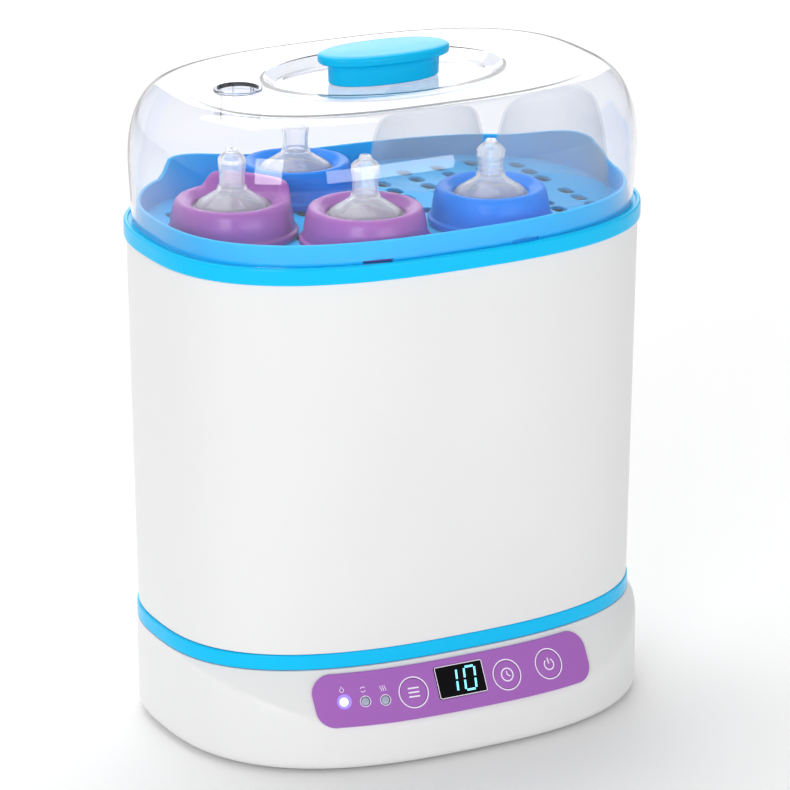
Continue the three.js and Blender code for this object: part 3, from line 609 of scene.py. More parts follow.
def base_section(angle):
    """The base's profile at one plan angle, from the heater hole's upper edge round to its lower one."""
    top = Vector(plan_point(angle, TRIM))
    wide = Vector(plan_point(angle, {**TRIM, "front": BASE_BULGE}))
    out = wide.normalized()
    hole = Vector((math.cos(angle), math.sin(angle))) * HEATER_HOLE
    front = math.sin(angle) < 0
    crease = min(crease_height(top.x), BASE_TOP - 0.6) if front else BASE_TOP - 12
    basin = Vector(plan_point(angle, inset(TRIM, 7)))
    upstand = Vector(plan_point(angle, inset(TRIM, 4.6)))

    def at(point, z):
        return (point.x, point.y, z)

    def soft(before, corner, after, radius, steps=6):
        before, corner, after = Vector(before), Vector(corner), Vector(after)
        start = corner + (before - corner).normalized() * radius
        end = corner + (after - corner).normalized() * radius
        return bend(start, corner, end, steps)

    hip, shoulder = at(wide, crease), at(top, BASE_TOP)
    softness = min(CREASE_SOFTNESS, (BASE_TOP - crease) * 0.45)
    foot = [at(wide - out * EDGE_TUCK * (1 - math.sin(a)), BASE_FLOOR + EDGE_RADIUS * (1 - math.cos(a)))
            for a in (k * math.pi / 16 for k in range(9))]
    step = at(upstand, BASE_TOP)
    outside = [*foot, *soft(foot[-1], hip, shoulder, softness), *soft(hip, shoulder, step, 0.5, 3)]
    rim = [step, at(upstand, UPSTAND_TOP - 0.8), at(upstand - out * 0.8, UPSTAND_TOP),
           at(basin, UPSTAND_TOP), at(basin, DECK["high"] + 3), at(basin - out * 1, DECK["high"] + 1),
           at(basin - out * 3, DECK["high"]), at(hole + out * 2, DECK["high"]), at(hole, DECK["high"])]
    inner_top = wide.lerp(top, max(0.0, (DECK["low"] - crease) / (BASE_TOP - crease))) - out * BASE_WALL
    inner = wide - out * BASE_WALL
    cavity = [at(hole, DECK["low"]), at(inner_top, DECK["low"]), at(inner, min(crease, DECK["low"]) - 2),
              at(inner, BASE_FLOOR + EDGE_RADIUS), at(wide - out * (BASE_WALL + EDGE_TUCK), BASE_FLOOR)]
    return [*outside, *rim, *cavity]


def make_base():
    sections = [base_section(angle) for angle in ANGLES]
    rings = [list(points) for points in zip(*sections)]
    housing = loft("base_shell", rings, WHITE, closed=True)
    finish(housing, "base", ["base_housing"])

    profile = [(4.2, TRIM_LOW, 0), (0.1, TRIM_LOW, 0.8), (0.1, TRIM_TOP, 1.0), (4.2, TRIM_TOP, 0)]
    trim = loft("lower_trim", banded(TRIM, rounded(profile)), CYAN, closed=True)
    finish(trim, "base", ["base_trim_ring"])


def make_underside():
    low, high, _ = span("bottom_cover")
    d = TRIM["a"] - (high.x - low.x) / 2
    plan = {**inset(TRIM, d), "front": BASE_BULGE - d}
    outline = [plan_point(angle, plan) for angle in ANGLES]
    slots = [loop_box(8 * i, -55, 3, 22, 1.4) for i in (-2, -1, 0, 1, 2)]
    screws = [span(f"cover_screw_{i}")[2] for i in (1, 2, 3, 4)]
    wells = [loop_round(p.x, p.y - BODY_Y, 4.0) for p in screws]
    cover = plate("underside_cover", outline, [*slots, *wells], flat, low.z, high.z, 0.3, GREY)
    finish(cover, "base", ["bottom_cover"])
    for i, spot in enumerate(screws, 1):
        foot, top, _ = span(f"cover_screw_{i}")
        head, recess, shank = 3.5, foot.z + 0.9, 1.6
        profile = rounded([
            (AXIS, recess, 0), (1.1, recess, 0), (1.4, foot.z, 0), (head, foot.z, 0.5),
            (head, foot.z + 1.3, 0.3), (shank, foot.z + 1.4, 0), (shank, top.z - 1, 0), (AXIS, top.z, 0)])
        screw = turned(f"cover_fastener_{i}", profile, STEEL, (spot.x, spot.y, 0), closed=False, sides=32)
        finish(screw, "base", [f"cover_screw_{i}"])
    for i in (1, 2, 3, 4):
        foot, top, centre = span(f"foot_{i}")
        edge = (top.y - foot.y) / 2 - 0.1
        profile = rounded([(AXIS, 0.5, 0), (edge - 3.3, 0.5, 0.3), (edge - 2.7, 0, 0.3), (edge, 0, 1.0),
                           (edge, top.z, 0.3), (AXIS, top.z, 0)])
        pad = turned(f"rubber_foot_{i}", profile, RUBBER, (centre.x, centre.y, 0), closed=False)
        finish(pad, "base", [f"foot_{i}"])


def make_heater():
    low, high, centre = span("heater_plate")
    rim = (high.x - low.x) / 2
    dish, sheet, flange = rim - 6.5, 1.2, high.z - 1
    well = low.z + sheet
    profile = rounded([
        (AXIS, low.z, 0), (dish - 1, low.z, 3), (dish, flange, 0.8), (rim, flange, 0.3), (rim, high.z, 0.4),
        (dish - sheet, high.z, 1.2), (dish - sheet - 1, well, 3), (12, well, 1), (10, well + 0.6, 1),
        (AXIS, well + 0.6, 0)])
    plate_piece = turned("heater_pan", profile, STEEL, (centre.x, centre.y, 0), closed=False, sides=120)
    finish(plate_piece, "base", ["heater_plate"])


# ---- control panel

FACE = {"left": -83.6, "right": 71.8, "low": -13.4, "high": 14.4, "corner": 10.0}
FILM = 1.5                             # height of the panel's face above the slope
BUTTON_RADIUS = 7.3
BUTTONS = {"menu": -32.2, "timer": 21.3, "power": 46.8}
LED_X = (-68.8, -58.2, -47.8)
LED_S = -2.2                           # how far up the face from its middle line
DISPLAY = {"x": -5.0, "s": 2.4, "width": 27.4, "height": 16.8}


def set_back(x):
    """How much higher up the face its edges lie where the front curves back."""
    return TRIM["b"] * (1 - arch(x / TRIM["a"])) * 0.5


def panel_outline():
    left, right, low, high, corner = FACE.values()
    x0, x1 = left + corner, right - corner
    steps = 40
    run = [x0 + (x1 - x0) * k / steps for k in range(steps + 1)]

    def arc(x, v, start):
        return arc_points(x, v + set_back(x), corner, start, start + math.pi / 2, 10)[1:-1]

    def side(edge, x):
        return [(edge, v + set_back(x)) for v in (low + corner, high - corner)]

    return [
        *((x, low + set_back(x)) for x in run), *arc(x1, low + corner, 1.5 * math.pi),
        *side(right, x1), *arc(x1, high - corner, 0), *((x, high + set_back(x)) for x in reversed(run)),
        *arc(x0, high - corner, 0.5 * math.pi), *reversed(side(left, x0)), *arc(x0, low + corner, math.pi)]


INK = 0.04                             # thickness of a printed stroke


def stroke(points, width, closed=False):
    """A ribbon of even width along 2-D points, as one outline."""
    count = len(points)
    left, right = [], []
    for i in range(count):
        before = Vector(points[i - 1] if closed or i else points[0])
        after = Vector(points[(i + 1) % count] if closed or i < count - 1 else points[-1])
        along = (after - before).normalized()
        side = Vector((-along.y, along.x)) * width / 2
        left.append(tuple(Vector(points[i]) + side))
        right.append(tuple(Vector(points[i]) - side))
    return left, right


def ribbon_data(points, width, place, h, closed=False):
    """A thin printed stroke on a surface, as vertices and faces."""
    left, right = stroke(points, width, closed)
    under = h - INK
    rows = ((right, under), (right, h), (left, h), (left, under))
    n = len(points)
    vertices = [place(u, v, level) for row, level in rows for u, v in row]
    faces = []
    last = n if closed else n - 1
    for i in range(last):
        j = (i + 1) % n
        faces += [((r + 1) % 4 * n + i, (r + 1) % 4 * n + j, r * n + j, r * n + i) for r in range(4)]
    if not closed:
        faces += [(0, n, 2 * n, 3 * n), (4 * n - 1, 3 * n - 1, 2 * n - 1, n - 1)]
    return vertices, faces


def printed(name, strokes, place, h, material):
    """Several strokes of (points, width, closed) as one piece."""
    vertices, faces = [], []
    for points, width, closed in strokes:
        start = len(vertices)
        v, f = ribbon_data(points, width, place, h, closed)
        vertices += v
        faces += [tuple(start + i for i in face) for face in f]
    obj = new_object(name, vertices, faces, material)
    weld(obj)
    return obj


POWER_GAP = 0.6
ICONS = {
    "menu": [([(-3.0, v), (3.0, v)], 0.75, False) for v in (-2.2, 0, 2.2)],
    "timer": [(loop_round(0, 0, 3.3, 36), 0.65, True), ([(0, 1.9), (0, 0), (1.6, -1.0)], 0.6, False)],
    "power": [(arc_points(0, -0.3, 2.8, math.pi / 2 + POWER_GAP, 2.5 * math.pi - POWER_GAP), 0.65, False),
              ([(0, 0), (0, 3.2)], 0.65, False)],
}


def icon_drop(x, v):
    tip = [(x, v + 1.7), (x - 0.9, v + 0.1)]
    bowl = arc_points(x, v - 0.3, 1.0, math.pi * 0.95, math.pi * 2.05, 12)
    return [([*tip, *bowl, (x + 0.9, v + 0.1)], 0.3, True)]


def icon_cycle(x, v):
    return [(arc_points(x, v, 1.3, start, start + 2.2, 12), 0.32, False) for start in (0.5, 3.64)]


def icon_steam(x, v):
    waves = []
    for dx in (-1.1, 0, 1.1):
        waves.append(([(x + dx + 0.3 * math.sin(k * 0.9), v - 1.4 + 0.4 * k) for k in range(8)], 0.3, False))
    return waves


def segment(digit_x, name, slant=0.12):
    """One bar of a seven-segment digit as a stroke, in the display's own plane."""
    w, h = 3.0, 5.9
    ends = {
        "a": ((-w, h), (w, h)), "b": ((w, h), (w, 0)), "c": ((w, 0), (w, -h)), "d": ((-w, -h), (w, -h)),
        "e": ((-w, 0), (-w, -h)), "f": ((-w, h), (-w, 0)), "g": ((-w, 0), (w, 0)),
    }[name]
    start, end = (Vector((digit_x + x + slant * y, y)) for x, y in ends)
    trim = (end - start).normalized() * 0.6
    a, b = start + trim, end - trim
    return ([tuple(a), tuple(a.lerp(b, 0.5)), tuple(b)], 1.1, False)


def turned_on(spot, name, profile, material, sides):
    """A round piece that stands on the slope."""
    rings = [[spot(u, v, h) for u, v in loop_round(0, 0, r, sides)] for r, h in profile]
    return loft(name, rings, material)


def make_panel():
    holes = []
    for x in BUTTONS.values():
        holes.append(loop_round(x, face_v(x, 0.5), BUTTON_RADIUS + 0.2, 48))
    for x in LED_X:
        holes.append(loop_round(x, face_v(x, face_t(x, LED_S)), 2.55, 28))
    display_v = face_v(DISPLAY["x"], face_t(DISPLAY["x"], DISPLAY["s"]))
    holes.append(loop_box(DISPLAY["x"], display_v, DISPLAY["width"] + 0.3, DISPLAY["height"] + 0.3, 1.2))
    film = plate("panel_face", panel_outline(), holes, on_slope, 0.02, FILM, 0.25, PANEL, pitch=4.0)
    finish(film, "base", ["control_panel"])

    place = local_face(DISPLAY["x"], DISPLAY["s"])
    width, height = DISPLAY["width"], DISPLAY["height"]
    outline = loop_box(0, 0, width, height, 1.1)
    glass = plate("display_glass", outline, [], place, 0.1, FILM + 0.1, 0.25, BLACK)
    finish(glass, "base", ["display_window"])
    border = printed("display_border", [(loop_box(0, 0, width - 0.5, height - 0.5, 0.9), 0.4, True)], place,
                     FILM + 0.14, PRINT_WITH_PAINTED_LIGHT)
    finish(border, "base")
    bars = [segment(-5.2, name) for name in "bc"] + [segment(5.3, name) for name in "abcdef"]
    digits = printed("display_digits", bars, place, FILM + 0.15, DIGIT)
    finish(digits, "base")

    for name, x in BUTTONS.items():
        spot = local_face(x)
        cap = rounded([(AXIS, -0.8, 0), (BUTTON_RADIUS, -0.8, 0), (BUTTON_RADIUS, FILM + 0.2, 0.5),
                       (AXIS, FILM + 0.35, 0)])
        key = turned_on(spot, f"{name}_cap", cap, BUTTON, 56)
        finish(key, f"{name}_key", [f"{name}_button"])
        mark = printed(f"{name}_mark", ICONS[name], spot, FILM + 0.39, PRINT_WITH_PAINTED_LIGHT)
        finish(mark, f"{name}_key")
        rim = [(loop_round(0, 0, BUTTON_RADIUS + 0.6, 64), 0.6, True)]
        finish(printed(f"{name}_ring", rim, spot, FILM + 0.06, PRINT_WITH_PAINTED_LIGHT), "base")

    for i, x in enumerate(LED_X, 1):
        spot = local_face(x, LED_S)
        bulb = rounded([(AXIS, -2, 0), (2.2, -2, 0), (2.2, FILM, 0.5), (1.2, FILM + 0.35, 0.6),
                        (AXIS, FILM + 0.4, 0)])
        lens = turned_on(spot, f"led_lens_{i}", bulb, LIT if i == 1 else LENS, 28)
        finish(lens, "base", [f"led_{i}"])
        # Round the lit LED the ring is a painted pool of its light; round the others it is a printed ring
        # with a painted glow.
        reach, width, shade = (3.2, 1.2, PAINTED_LED_SPILL) if i == 1 else (2.75, 0.35, PRINT_WITH_PAINTED_LIGHT)
        halo = [(loop_round(0, 0, reach, 32), width, True)]
        finish(printed(f"led_ring_{i}", halo, spot, FILM + 0.05, shade), "base")

    marks = []
    for icon, x in zip((icon_drop, icon_cycle, icon_steam), LED_X):
        marks += icon(x, face_v(x, face_t(x, LED_S + 6.2)))
    finish(printed("status_marks", marks, on_slope, FILM + 0.05, PRINT_WITH_PAINTED_LIGHT), "base")


# ---- body, ring, basket

def shell_plan(z, d=0.0):
    t = (z - SHELL_LOW) / (SHELL_TOP - SHELL_LOW)
    return inset({k: SHELL_FOOT[k] + t * (SHELL_HEAD[k] - SHELL_FOOT[k]) for k in "ab"}, d)


LEDGE = {"low": 68.0, "high": 70.4, "inset": 7.2}


def make_body():
    corners = [
        (WALL, SHELL_LOW, 0), (0, SHELL_LOW, 0.8), (0, SHELL_LOW + 40, 0), (0, SHELL_LOW + 100, 0),
        (0, SHELL_LOW + 160, 0), (0, SHELL_TOP, 0.6), (WALL, SHELL_TOP, 0),
        (WALL, LEDGE["high"], 0.8), (LEDGE["inset"], LEDGE["high"], 0.5),
        (LEDGE["inset"], LEDGE["low"], 0.3), (WALL, LEDGE["low"], 0.4)]
    rings = [ring(shell_plan(z, d), z) for d, z in rounded(corners, closed=True)]
    finish(loft("body_wall", rings, WHITE, closed=True), "main_body", ["body_shell"])

    lip, step, seat = 2.2, 6.2, 8.2
    upper = rounded([
        (seat, RING_LOW, 0.4), (0.05, RING_LOW, 1.0), (0.05, RING_TOP, 1.6), (lip, RING_TOP - 0.1, 0.4),
        (lip, LID_SEAT, 0.3), (step, LID_SEAT, 0.3), (step, CHANNEL_FLOOR, 0.4), (seat, CHANNEL_FLOOR, 0.5)],
        closed=True)
    band = loft("upper_trim", banded(RING, upper), CYAN, closed=True)
    low, high = RING_LOW - 8, RING_LOW + 1
    sheet = rounded([(2, low, 0.5), (0, low, 0.5), (0, high, 0), (2, high, 0)])
    skirt = loft("skirt", banded(inset(SHELL_HEAD, WALL + GAP), sheet), CYAN, closed=True)
    band = joined("upper_trim", [band, skirt])
    finish(band, "main_body", ["body_top_ring"])


def floor_holes(rows, across, x_limit):
    """Rounded steam holes in a grid; rows are (y from, y to) and the columns are 20 mm apart."""
    holes = []
    for i in range(-5, 6):
        for y0, y1 in rows:
            if abs(i * 20) <= x_limit(max(abs(y0), abs(y1))):
                corner = min(across, y1 - y0) / 2 - 0.1
                holes.append(loop_box(i * 20, (y0 + y1) / 2, across, y1 - y0, corner, 5))
    return holes


def room(plan, margin):
    """How far out in x a plan's outline lies at a depth y, less a margin."""
    return lambda y: plan["a"] * arch((y + margin) / plan["b"]) - margin


def make_basket():
    low, high, _ = span("bottle_basket")
    plan = half_axes("bottle_basket")
    rim, sheet = 86.0, 2.2
    wall = rounded([(0.8, low.z, 1.0), (0, rim, 0.8), (2, rim, 0.8), (2.8, low.z + sheet, 1.5)], closed=True)
    tub = loft("basket_wall", banded(plan, wall), WHITE, closed=True)
    floor_plan = inset(plan, 2)
    outline = [plan_point(angle, floor_plan) for angle in ANGLES]
    holes = floor_holes([(-60, -36), (-32, -8), (8, 32), (36, 60)], 6, room(floor_plan, 6))
    floor = plate("basket_floor", outline, holes, flat, low.z, low.z + sheet, 0.3, WHITE)
    parts = [tub, floor]
    for x in (-82, 0, 82):
        for y in (-38, 38):
            for along in (0, 1):
                reach = (14.0, 1.0) if along else (1.0, 14.0)
                foot = loop_box(x, y, 2 * reach[0], 2 * reach[1], 0.8)
                rings = [[(x + (u - x) * k, y + (v - y) * k, z) for u, v in foot]
                         for k, z in ((1, low.z + 1), (1, high.z - 6), (0.92, high.z - 1.5), (0.8, high.z))]
                parts.append(loft("rib", rings, WHITE))
    finish(joined("bottle_rack", parts), "basket", ["bottle_basket"])


# ---- upper tray

EARS = (
    {"angle": 0.07, "rise": 8.6, "front": -0.10, "back": 0.75},
    {"angle": 2.24, "rise": 9.4, "front": 2.34, "back": 1.62},
)
DRAINS = {"starts": (-54.0, 28.0), "width": 16.0, "low": 265.2, "slot": 267.0, "high": 269.4, "recess": 0.9}


def smoothstep(value, end):
    t = min(1.0, max(0.0, value / end))
    return t * t * (3 - 2 * t)


def tray_wall_top(angle):
    """The wall is low along the front and rises behind into a wavy part between two ears."""
    turn = angle - 2 * math.pi if angle > 1.5 * math.pi else angle
    height = TRAY_WALL_TOP
    for ear in EARS:
        side = math.copysign(1, ear["back"] - ear["angle"])
        away = (turn - ear["angle"]) * side
        reach = abs(ear["back"] - ear["angle"]) if away > 0 else abs(ear["front"] - ear["angle"])
        height += ear["rise"] * (1 - smoothstep(abs(away), reach))
    return height


def recess_cutter(start, end):
    """Cuts a shallow recess that follows the front wall."""
    plan = inset(TRAY, DRAINS["recess"])
    outline = []
    for k in range(9):
        x = start + (end - start) * k / 8
        outline.append((x, -plan["b"] * arch(x / plan["a"])))
    outline += [(end, -TRAY["b"] - 3), (start, -TRAY["b"] - 3)]
    rings = [[(x, y, z) for x, y in outline] for z in (DRAINS["low"] + 0.1, DRAINS["high"])]
    return loft("recess_cutter", rings, TRAY_CYAN)


def make_tray():
    foot = CHANNEL_FLOOR + 0.3
    top, sheet = 1000.0, 2.0           # a height that stands for the wavy top of the wall
    profile = rounded([(0.6, foot, 0.6), (0, foot + 6, 0), (0, top, 0.9), (sheet, top, 0.9),
                       (sheet, TRAY_FLOOR - 1, 0)], closed=True)
    rings = []
    for d, z in profile:
        wavy = (lambda angle, drop=top - z: tray_wall_top(angle) - drop) if z > top / 2 else z
        rings.append(ring(inset(TRAY, d), wavy))
    wall = loft("tray_wall", rings, TRAY_CYAN, closed=True)
    for start in DRAINS["starts"]:
        end = start + DRAINS["width"]
        slot = block((start, -TRAY["b"] - 3, DRAINS["low"]), (end, -TRAY["b"] + 8, DRAINS["slot"]), TRAY_CYAN)
        carve(wall, [slot])
        carve(wall, [recess_cutter(start, end)])
    floor_plan = inset(TRAY, 1.5)
    outline = [plan_point(angle, floor_plan) for angle in ANGLES]
    rows = [(-60, -49), (-46, -35), (-32, -21), (-18, -7), (7, 18), (21, 32), (35, 46), (49, 60)]
    holes = floor_holes(rows, 7, room(floor_plan, 8))
    floor = plate("tray_floor", outline, holes, flat, TRAY_FLOOR - 2.2, TRAY_FLOOR, 0.4, TRAY_CYAN)
    finish(joined("small_parts_tray", [wall, floor]), "tray", ["upper_tray"])


# ---- lid

LID_WALL = 1.9
SHOULDER = {"low": 296.2, "reach": 22.0, "power": 2.235}
RECESS = {
    "rim": {"a": 64.8, "b": 44.2, "power": 2}, "floor": {"a": 58.6, "b": 40.0, "power": 2}, "depth": 4.2,
}


def dome(d, steps=26):
    """Rings of the lid's shoulder, on its outside or d inside it."""
    rings = []
    top = LID_TOP - 0.5
    for k in range(steps + 1):
        angle = k * math.pi / (2 * steps)
        inwards = SHOULDER["reach"] * (1 - max(0.0, math.cos(angle)) ** (2 / SHOULDER["power"]))
        z = SHOULDER["low"] + (top - SHOULDER["low"]) * math.sin(angle) ** (2 / SHOULDER["power"])
        rings.append(ring(inset(LID, inwards + d), z - d * inwards / SHOULDER["reach"]))
    return rings


def mixed_plan(first, second, t):
    keys = ("a", "b", "power")
    full = {"power": PLAN_POWER, **first}, {"power": PLAN_POWER, **second}
    return {k: full[0][k] + t * (full[1][k] - full[0][k]) for k in keys}


def crown(d):
    """Rings from the plateau's edge to the middle of the recess."""
    edge = inset(LID, SHOULDER["reach"] + d)
    rim = inset(RECESS["rim"], -d)
    floor = inset(RECESS["floor"], -d)
    floor_z = LID_TOP - RECESS["depth"] - d
    rings = [ring(mixed_plan(edge, rim, t), LID_TOP - d - 0.5 + math.sin(t * math.pi / 2)) for t in
             (0.04, 0.1, 0.2, 0.35, 0.55, 0.75, 0.93)]
    rings += [ring(mixed_plan(rim, floor, t), LID_TOP - d + 0.5 - drop) for t, drop in
              ((0.0, 0.04), (0.06, 0.3), (0.5, 2.3), (0.88, 4.2))]
    rings += [ring(inset(floor, k), floor_z) for k in (0.4, 3, 12, 24, 34)]
    return rings


def lid_rise(d, shares):
    """Rings of the lid's lower wall at shares of its height, on its outside or d inside it."""
    low = LID_LOW + 5
    return [ring(mixed_plan(inset(LID_FOOT, d), inset(LID, d), t), low + t * (SHOULDER["low"] - low))
            for t in shares]


def make_lid():
    foot = [ring(inset(LID_FOOT, LID_WALL - 0.3), LID_LOW), ring(inset(LID_FOOT, 0.6), LID_LOW),
            ring(inset(LID_FOOT, 0.1), LID_LOW + 0.7), ring(LID_FOOT, LID_LOW + 5)]
    outside = [*foot, *lid_rise(0, (0.3, 0.6)), *dome(0), *crown(0)]
    hollow = [*[*dome(LID_WALL), *crown(LID_WALL)][::-1], *lid_rise(LID_WALL, (0.6, 0.3, 0.0))]
    # Each skin is a loft without the cap at the open foot, and a last band joins the two.
    outer_points, outer_faces = loft_data(outside)
    inner_points, inner_faces = loft_data(hollow)
    start = len(outer_points)
    faces = [face for face in outer_faces if start - 2 not in face]
    faces += [tuple(start + i for i in face) for face in inner_faces if len(inner_points) - 1 not in face]
    last_row = start + (len(hollow) - 1) * SIDES
    faces += band_faces(last_row, -last_row, SIDES)
    shell = new_object("lid_shell", outer_points + inner_points, faces, CLEAR)
    weld(shell)
    shell.data.set_sharp_from_angle(angle=math.radians(50))
    outer, inner, low = VENT["outer"], VENT["inner"], VENT["low"]
    centre = (VENT["x"], BODY_Y, 0)
    bore = [circle(outer - 0.05, z, 64) for z in (low - 4, LID_TOP + 4)]
    carve(shell, [loft("bore", bore, CLEAR, at=centre)])
    finish(shell, "lid_assembly", ["lid"])

    rim = LID_TOP + 0.95
    corners = [(inner, low, 0.3), (outer - 0.5, low, 0.4), (outer - 0.5, LID_TOP - 3, 0.2),
               (outer, LID_TOP - 2.4, 0.2), (outer, rim, 0.6), (inner, rim, 0.5)]
    tube = turned("vent_tube", rounded(corners, closed=True, steps=3), CLEAR, centre, sides=64)
    fins = []
    for k in range(6):
        angle = k * math.pi / 3 + 0.3
        out = Vector((math.cos(angle), math.sin(angle)))
        side = Vector((-out.y, out.x)) * 0.45
        root, tip = out * (inner + 0.1), out * (inner - 1.6)
        base = [root - side, root + side, tip + side * 0.8, tip - side * 0.8]
        rings = [[(p.x, p.y, z) for p in base] for z in (low + 0.3, LID_TOP - 0.8)]
        fins.append(loft("fin", rings, CLEAR, at=centre))
    finish(joined("vent_tube", [tube, *fins]), "lid_assembly", ["lid"])


def make_knob():
    low, high, _ = span("lid_knob")
    cap = {**half_axes("lid_knob"), "power": 2.2}
    stem = {"a": cap["a"] - 5.8, "b": cap["b"] - 3.0, "power": 2.2}
    sides = [2 * math.pi * k / 96 for k in range(96)]
    cap_low = high.z - 5.6
    foot = ((0.6, low.z), (0, low.z + 0.6), (-0.1, cap_low - 3), (-0.3, cap_low - 1), (-0.9, cap_low - 0.2))
    rings = [ring(inset(stem, d), z, sides) for d, z in foot]
    edge = rounded([(3.0, cap_low, 0), (0.2, cap_low + 0.3, 1.0), (0, high.z - 1.0, 1.6),
                    (3, high.z - 0.35, 1.5), (12, high.z - 0.05, 2), (16, high.z, 0)])
    rings += [ring(inset(cap, d), z, sides) for d, z in edge]
    finish(loft("knob", rings, CYAN), "lid_assembly", ["lid_knob"])


# ---- collars, teats, hoods

COLLAR_RADIUS = 33.3
COLLAR_PROFILE = rounded([
    (28.4, 0, 0.3), (33.2, 0, 0.5), (33.3, 2.9, 0.7), (31.5, 3.7, 0.5), (31.3, 5.5, 1), (30.3, 12.5, 3),
    (28.6, 18.6, 3.4), (24.6, 18.6, 2.0), (20.2, 15.9, 0.8), (19.7, 14.8, 0.3), (28.4, 14.8, 1.0),
], closed=True)
LOBE = {"angle": 0.62, "half": 0.85, "rise": 6.4}


def make_collar(node, name, material, lobes=False, scallops=False):
    low, high, centre = span(node)
    radius = (high.y - low.y) / 2
    scale = radius / COLLAR_RADIUS
    profile = [(r * scale, z) for r, z in COLLAR_PROFILE]
    piece = turned(name, profile, material, (centre.x, centre.y, low.z), sides=120)
    for vertex in piece.data.vertices:
        local = vertex.co / MM - Vector((centre.x, centre.y, low.z))
        out = math.hypot(local.x, local.y)
        angle = math.atan2(local.y, local.x)
        if lobes:
            turn = angle - LOBE["angle"]
            turn = math.atan2(math.sin(turn), math.cos(turn))
            lobe = 1 - smoothstep(abs(turn) - LOBE["half"], 0.3)
            ripple = 0.92 - 0.08 * math.cos(turn * math.pi / LOBE["half"])
            share = smoothstep(local.z - 13.5, 4.5) * smoothstep(out - 20.5, 4.5)
            vertex.co.z += LOBE["rise"] * lobe * ripple * share * MM
        if scallops and out > 26 * scale:
            nearest = round(angle / (math.pi / 3)) * math.pi / 3
            across = (angle - nearest) * 30
            depth = math.hypot(across, (local.z - 17) * 1.15)
            groove = math.exp(-((depth - 9.5) / 0.55) ** 2) * (1 if local.z < 17 else 0)
            vertex.co.xy -= Vector((local.x, local.y)).normalized() * 0.35 * groove * MM
    finish(piece, "tray", [node])


def teat_profile(height, bulb, flat_top):
    """Outside up and inside down, so that the skin is one closed wall."""
    skin = 1.5
    tip = 4.4 if flat_top else 2.9
    if flat_top:
        head = [(bulb, height - 2.6, 2.2), (tip, height - 0.1, 1.0), (tip - 0.8, height - 0.1, 0.3),
                (1.5, height - 0.6, 0.3)]
    else:
        head = [(bulb, height - 4.6, 3.4), (3.3, height - 2.3, 0.7), (tip, height - 0.1, 0.9)]
    return rounded([
        (17, 12, 0), (24.4, 12, 0.4), (24.4, 14.2, 0.6), (19.2, 14.5, 1.0), (17.6, 16.6, 1.6),
        (12.6, 19.6, 3), (8.4, 22.4, 1.6), (7.5, 23.6, 0.5), (7.5, 24.8, 0.5), (6.6, 25.6, 0.8),
        (6.5, height - 13.5, 2), (bulb, height - 9, 3), *head, (0.5, height - 0.3, 0.2),
        (0.4, height - skin, 0.2), (tip - 0.6, height - skin - 0.2, 0.8), (bulb - skin, height - 6.4, 3),
        (bulb - skin, height - 9, 2.5), (6.5 - skin, height - 13.5, 2), (5.2, 24.8, 1.5), (6.8, 21.6, 2),
        (11.4, 18.2, 3), (15.8, 15.2, 2)], closed=True, steps=4)


def make_teat(index, collar, bulb, flat_top=False, ribs=False):
    node = f"teat_{index}"
    high = span(node)[1]
    centre = span(collar)[2]
    floor = span(collar)[0].z
    profile = teat_profile(high.z - floor, bulb, flat_top)
    piece = turned(f"silicone_teat_{index}", profile, SILICONE, (centre.x, centre.y, floor), sides=84)
    if ribs:
        for vertex in piece.data.vertices:
            local = vertex.co / MM - Vector((centre.x, centre.y, floor))
            wave = 0.3 * math.sin(local.z * 1.9) if local.z > 25 else 0.0
            around = math.atan2(local.y, local.x) * 7
            if 15.6 < local.z < 24 and math.hypot(local.x, local.y) > 9:
                wave = 0.5 * max(0.0, math.cos(around)) * max(0.0, math.sin(local.z * 1.5))
            vertex.co.xy += Vector((local.x, local.y)).normalized() * wave * MM
    finish(piece, "tray", [node])


def make_hood(index):
    low, high, centre = span(f"hood_{index}")
    rim = (high.y - low.y) / 2
    height = high.z - low.z
    skin = 1.3
    outside = [(rim, 0, 0.5), (rim, 3, 0.4), (rim - 0.5, 3.6, 0.4), (rim - 3.0, height * 0.5, 10),
               (rim - 7.6, height * 0.86, 9), (rim * 0.5, height * 0.985, 7), (rim * 0.3, height, 3)]
    inner = [(u - skin if u > rim * 0.4 else u, v - skin if v > height * 0.9 else v, r)
             for u, v, r in outside]
    outer_points = rounded([*outside, (0.5, height, 0)], steps=6)
    inner_points = rounded([*inner, (0.5, height - skin, 0)], steps=6)[::-1]
    place = (centre.x, centre.y, low.z)
    piece = turned(f"bottle_hood_{index}", [*outer_points, *inner_points], FROSTED, place, sides=96)
    finish(piece, "tray", [f"hood_{index}"])


def make_load():
    make_collar("purple_collar_1", "collar_purple_lobed", PURPLE, lobes=True)
    make_collar("purple_collar_2", "collar_purple_plain", PURPLE)
    make_collar("blue_collar_1", "collar_blue_scalloped", BLUE, scallops=True)
    make_collar("blue_collar_2", "collar_blue_plain", BLUE)
    make_teat(1, "purple_collar_1", 7.1)
    make_teat(2, "purple_collar_2", 7.2)
    make_teat(3, "blue_collar_1", 7.3, ribs=True)
    make_teat(4, "blue_collar_2", 7.2, flat_top=True)
    make_hood(1)
    make_hood(2)


# ---- CAD nodes that stay

KEPT = {
    STEEL: ["heating_element", "element_bracket"],
    GREY: ["heater_seal", "thermal_fuse", "cord_gland", "display_module"],
    DARK: ["thermostat", "relay", "menu_switch", "timer_switch", "power_switch"],
    BOARD: ["power_board", "control_board"],
    COPPER: ["transformer"],
}


def dress_kept_nodes():
    for material, names in KEPT.items():
        for name in names:
            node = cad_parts[name]
            node.data.materials.clear()
            node.data.materials.append(material)


# ---- stage, lights, camera

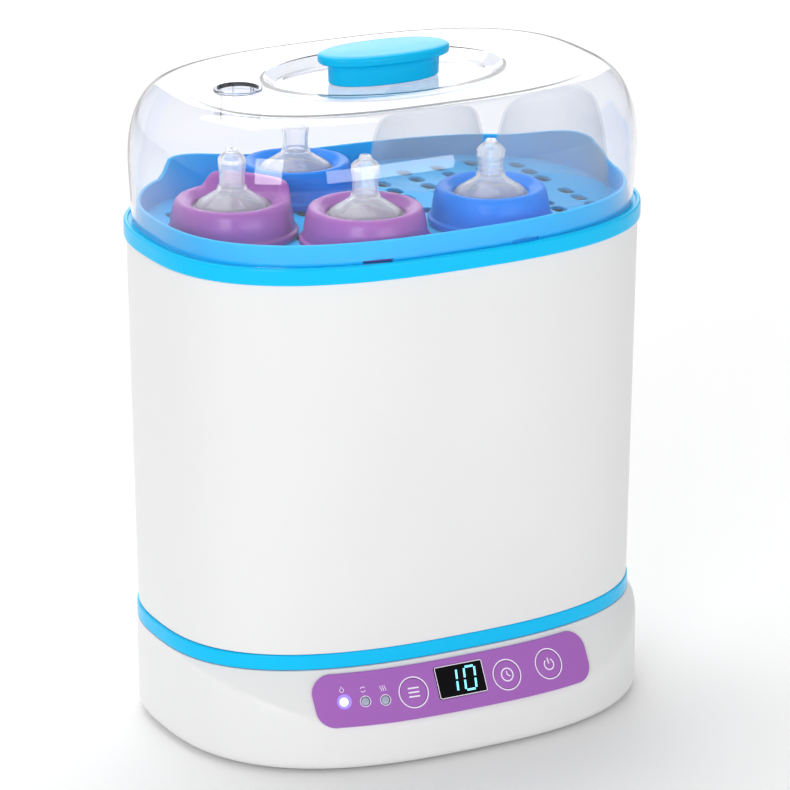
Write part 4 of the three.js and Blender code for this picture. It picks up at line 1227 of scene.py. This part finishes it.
STUDIO = {"bright_side": (-0.25, 0.75, -0.6), "dark": 0.36, "bright": 1.04}
CAMERA = {"azimuth": -27.306, "elevation": 18.742, "distance": 2.4506, "lens": 213.91}
TARGET = Vector((0.009534, 0.011404, 0.160484))
FLOOR_RADIUS = 6000.0
LIGHTS = (                             # name, place, aim, size and power
    ("key", (-1.9, -2.1, 0.9), (0, 0, 0.15), (1.0, 1.3), 23),
    ("front", (0.4, -2.6, 0.5), (0, 0, 0.15), (1.6, 0.5), 11),
    ("top", (0.0, 0.9, 2.2), (0, 0, 0.1), (1.6, 1.6), 22),
    ("behind", (0.95, 1.84, 1.05), (0, 0, 0.34), (1.5, 1.0), 7),
)


def make_camera():
    azimuth, elevation = (math.radians(CAMERA[k]) for k in ("azimuth", "elevation"))
    level = math.cos(elevation)
    back = Vector((math.sin(azimuth) * level, -math.cos(azimuth) * level, math.sin(elevation)))
    data = bpy.data.cameras.new("camera")
    data.lens = CAMERA["lens"]
    data.sensor_width = 36.0
    data.clip_end = 20.0
    camera = bpy.data.objects.new("camera", data)
    camera.location = TARGET + back * CAMERA["distance"]
    camera.rotation_euler = back.to_track_quat("Z", "Y").to_euler()
    bpy.context.scene.collection.objects.link(camera)
    bpy.context.scene.camera = camera


def area_light(name, place, aim, size, power):
    data = bpy.data.lights.new(name, "AREA")
    data.shape = "RECTANGLE"
    data.size, data.size_y = size
    data.energy = power
    light = bpy.data.objects.new(name, data)
    light.location = place
    light.rotation_euler = (Vector(place) - Vector(aim)).to_track_quat("Z", "Y").to_euler()
    bpy.context.scene.collection.objects.link(light)


def make_stage():
    material, tree, shader, coordinate = node_material("floor")
    shade = blended(tree, noise(tree, coordinate, 2.0, 1.0), (0.93, 0.93, 0.93), (0.92, 0.92, 0.92))
    wire(tree, shader, {"Base Color": shade, "Roughness": 0.9, "Specular IOR Level": 0.1,
                        "Emission Color": shade, "Emission Strength": 0.04})
    disc = loft_data([circle(FLOOR_RADIUS, z, 96) for z in (-2, -0.02)])
    new_object("floor", *disc, material, at=(0, 0, 0))
    world = bpy.data.worlds.new("studio")
    world.use_nodes = True
    tree = world.node_tree
    across = tree.nodes.new("ShaderNodeVectorMath")
    across.operation = "DOT_PRODUCT"
    wire(tree, across, {0: new_node(tree, "TexCoord").outputs["Generated"], 1: STUDIO["bright_side"]})
    spread = new_node(tree, "MapRange", Value=across.outputs["Value"], From_Min=-1.0,
                      To_Min=STUDIO["dark"], To_Max=STUDIO["bright"])
    wire(tree, tree.nodes["Background"], {"Color": (1, 1, 1, 1), "Strength": spread.outputs["Result"]})
    bpy.context.scene.world = world
    bpy.context.scene.view_settings.view_transform = "Standard"
    for light in LIGHTS:
        area_light(*light)


make_camera()
make_stage()
make_base()
make_underside()
make_heater()
make_panel()
make_body()
make_basket()
make_tray()
make_lid()
make_knob()
make_load()
dress_kept_nodes()
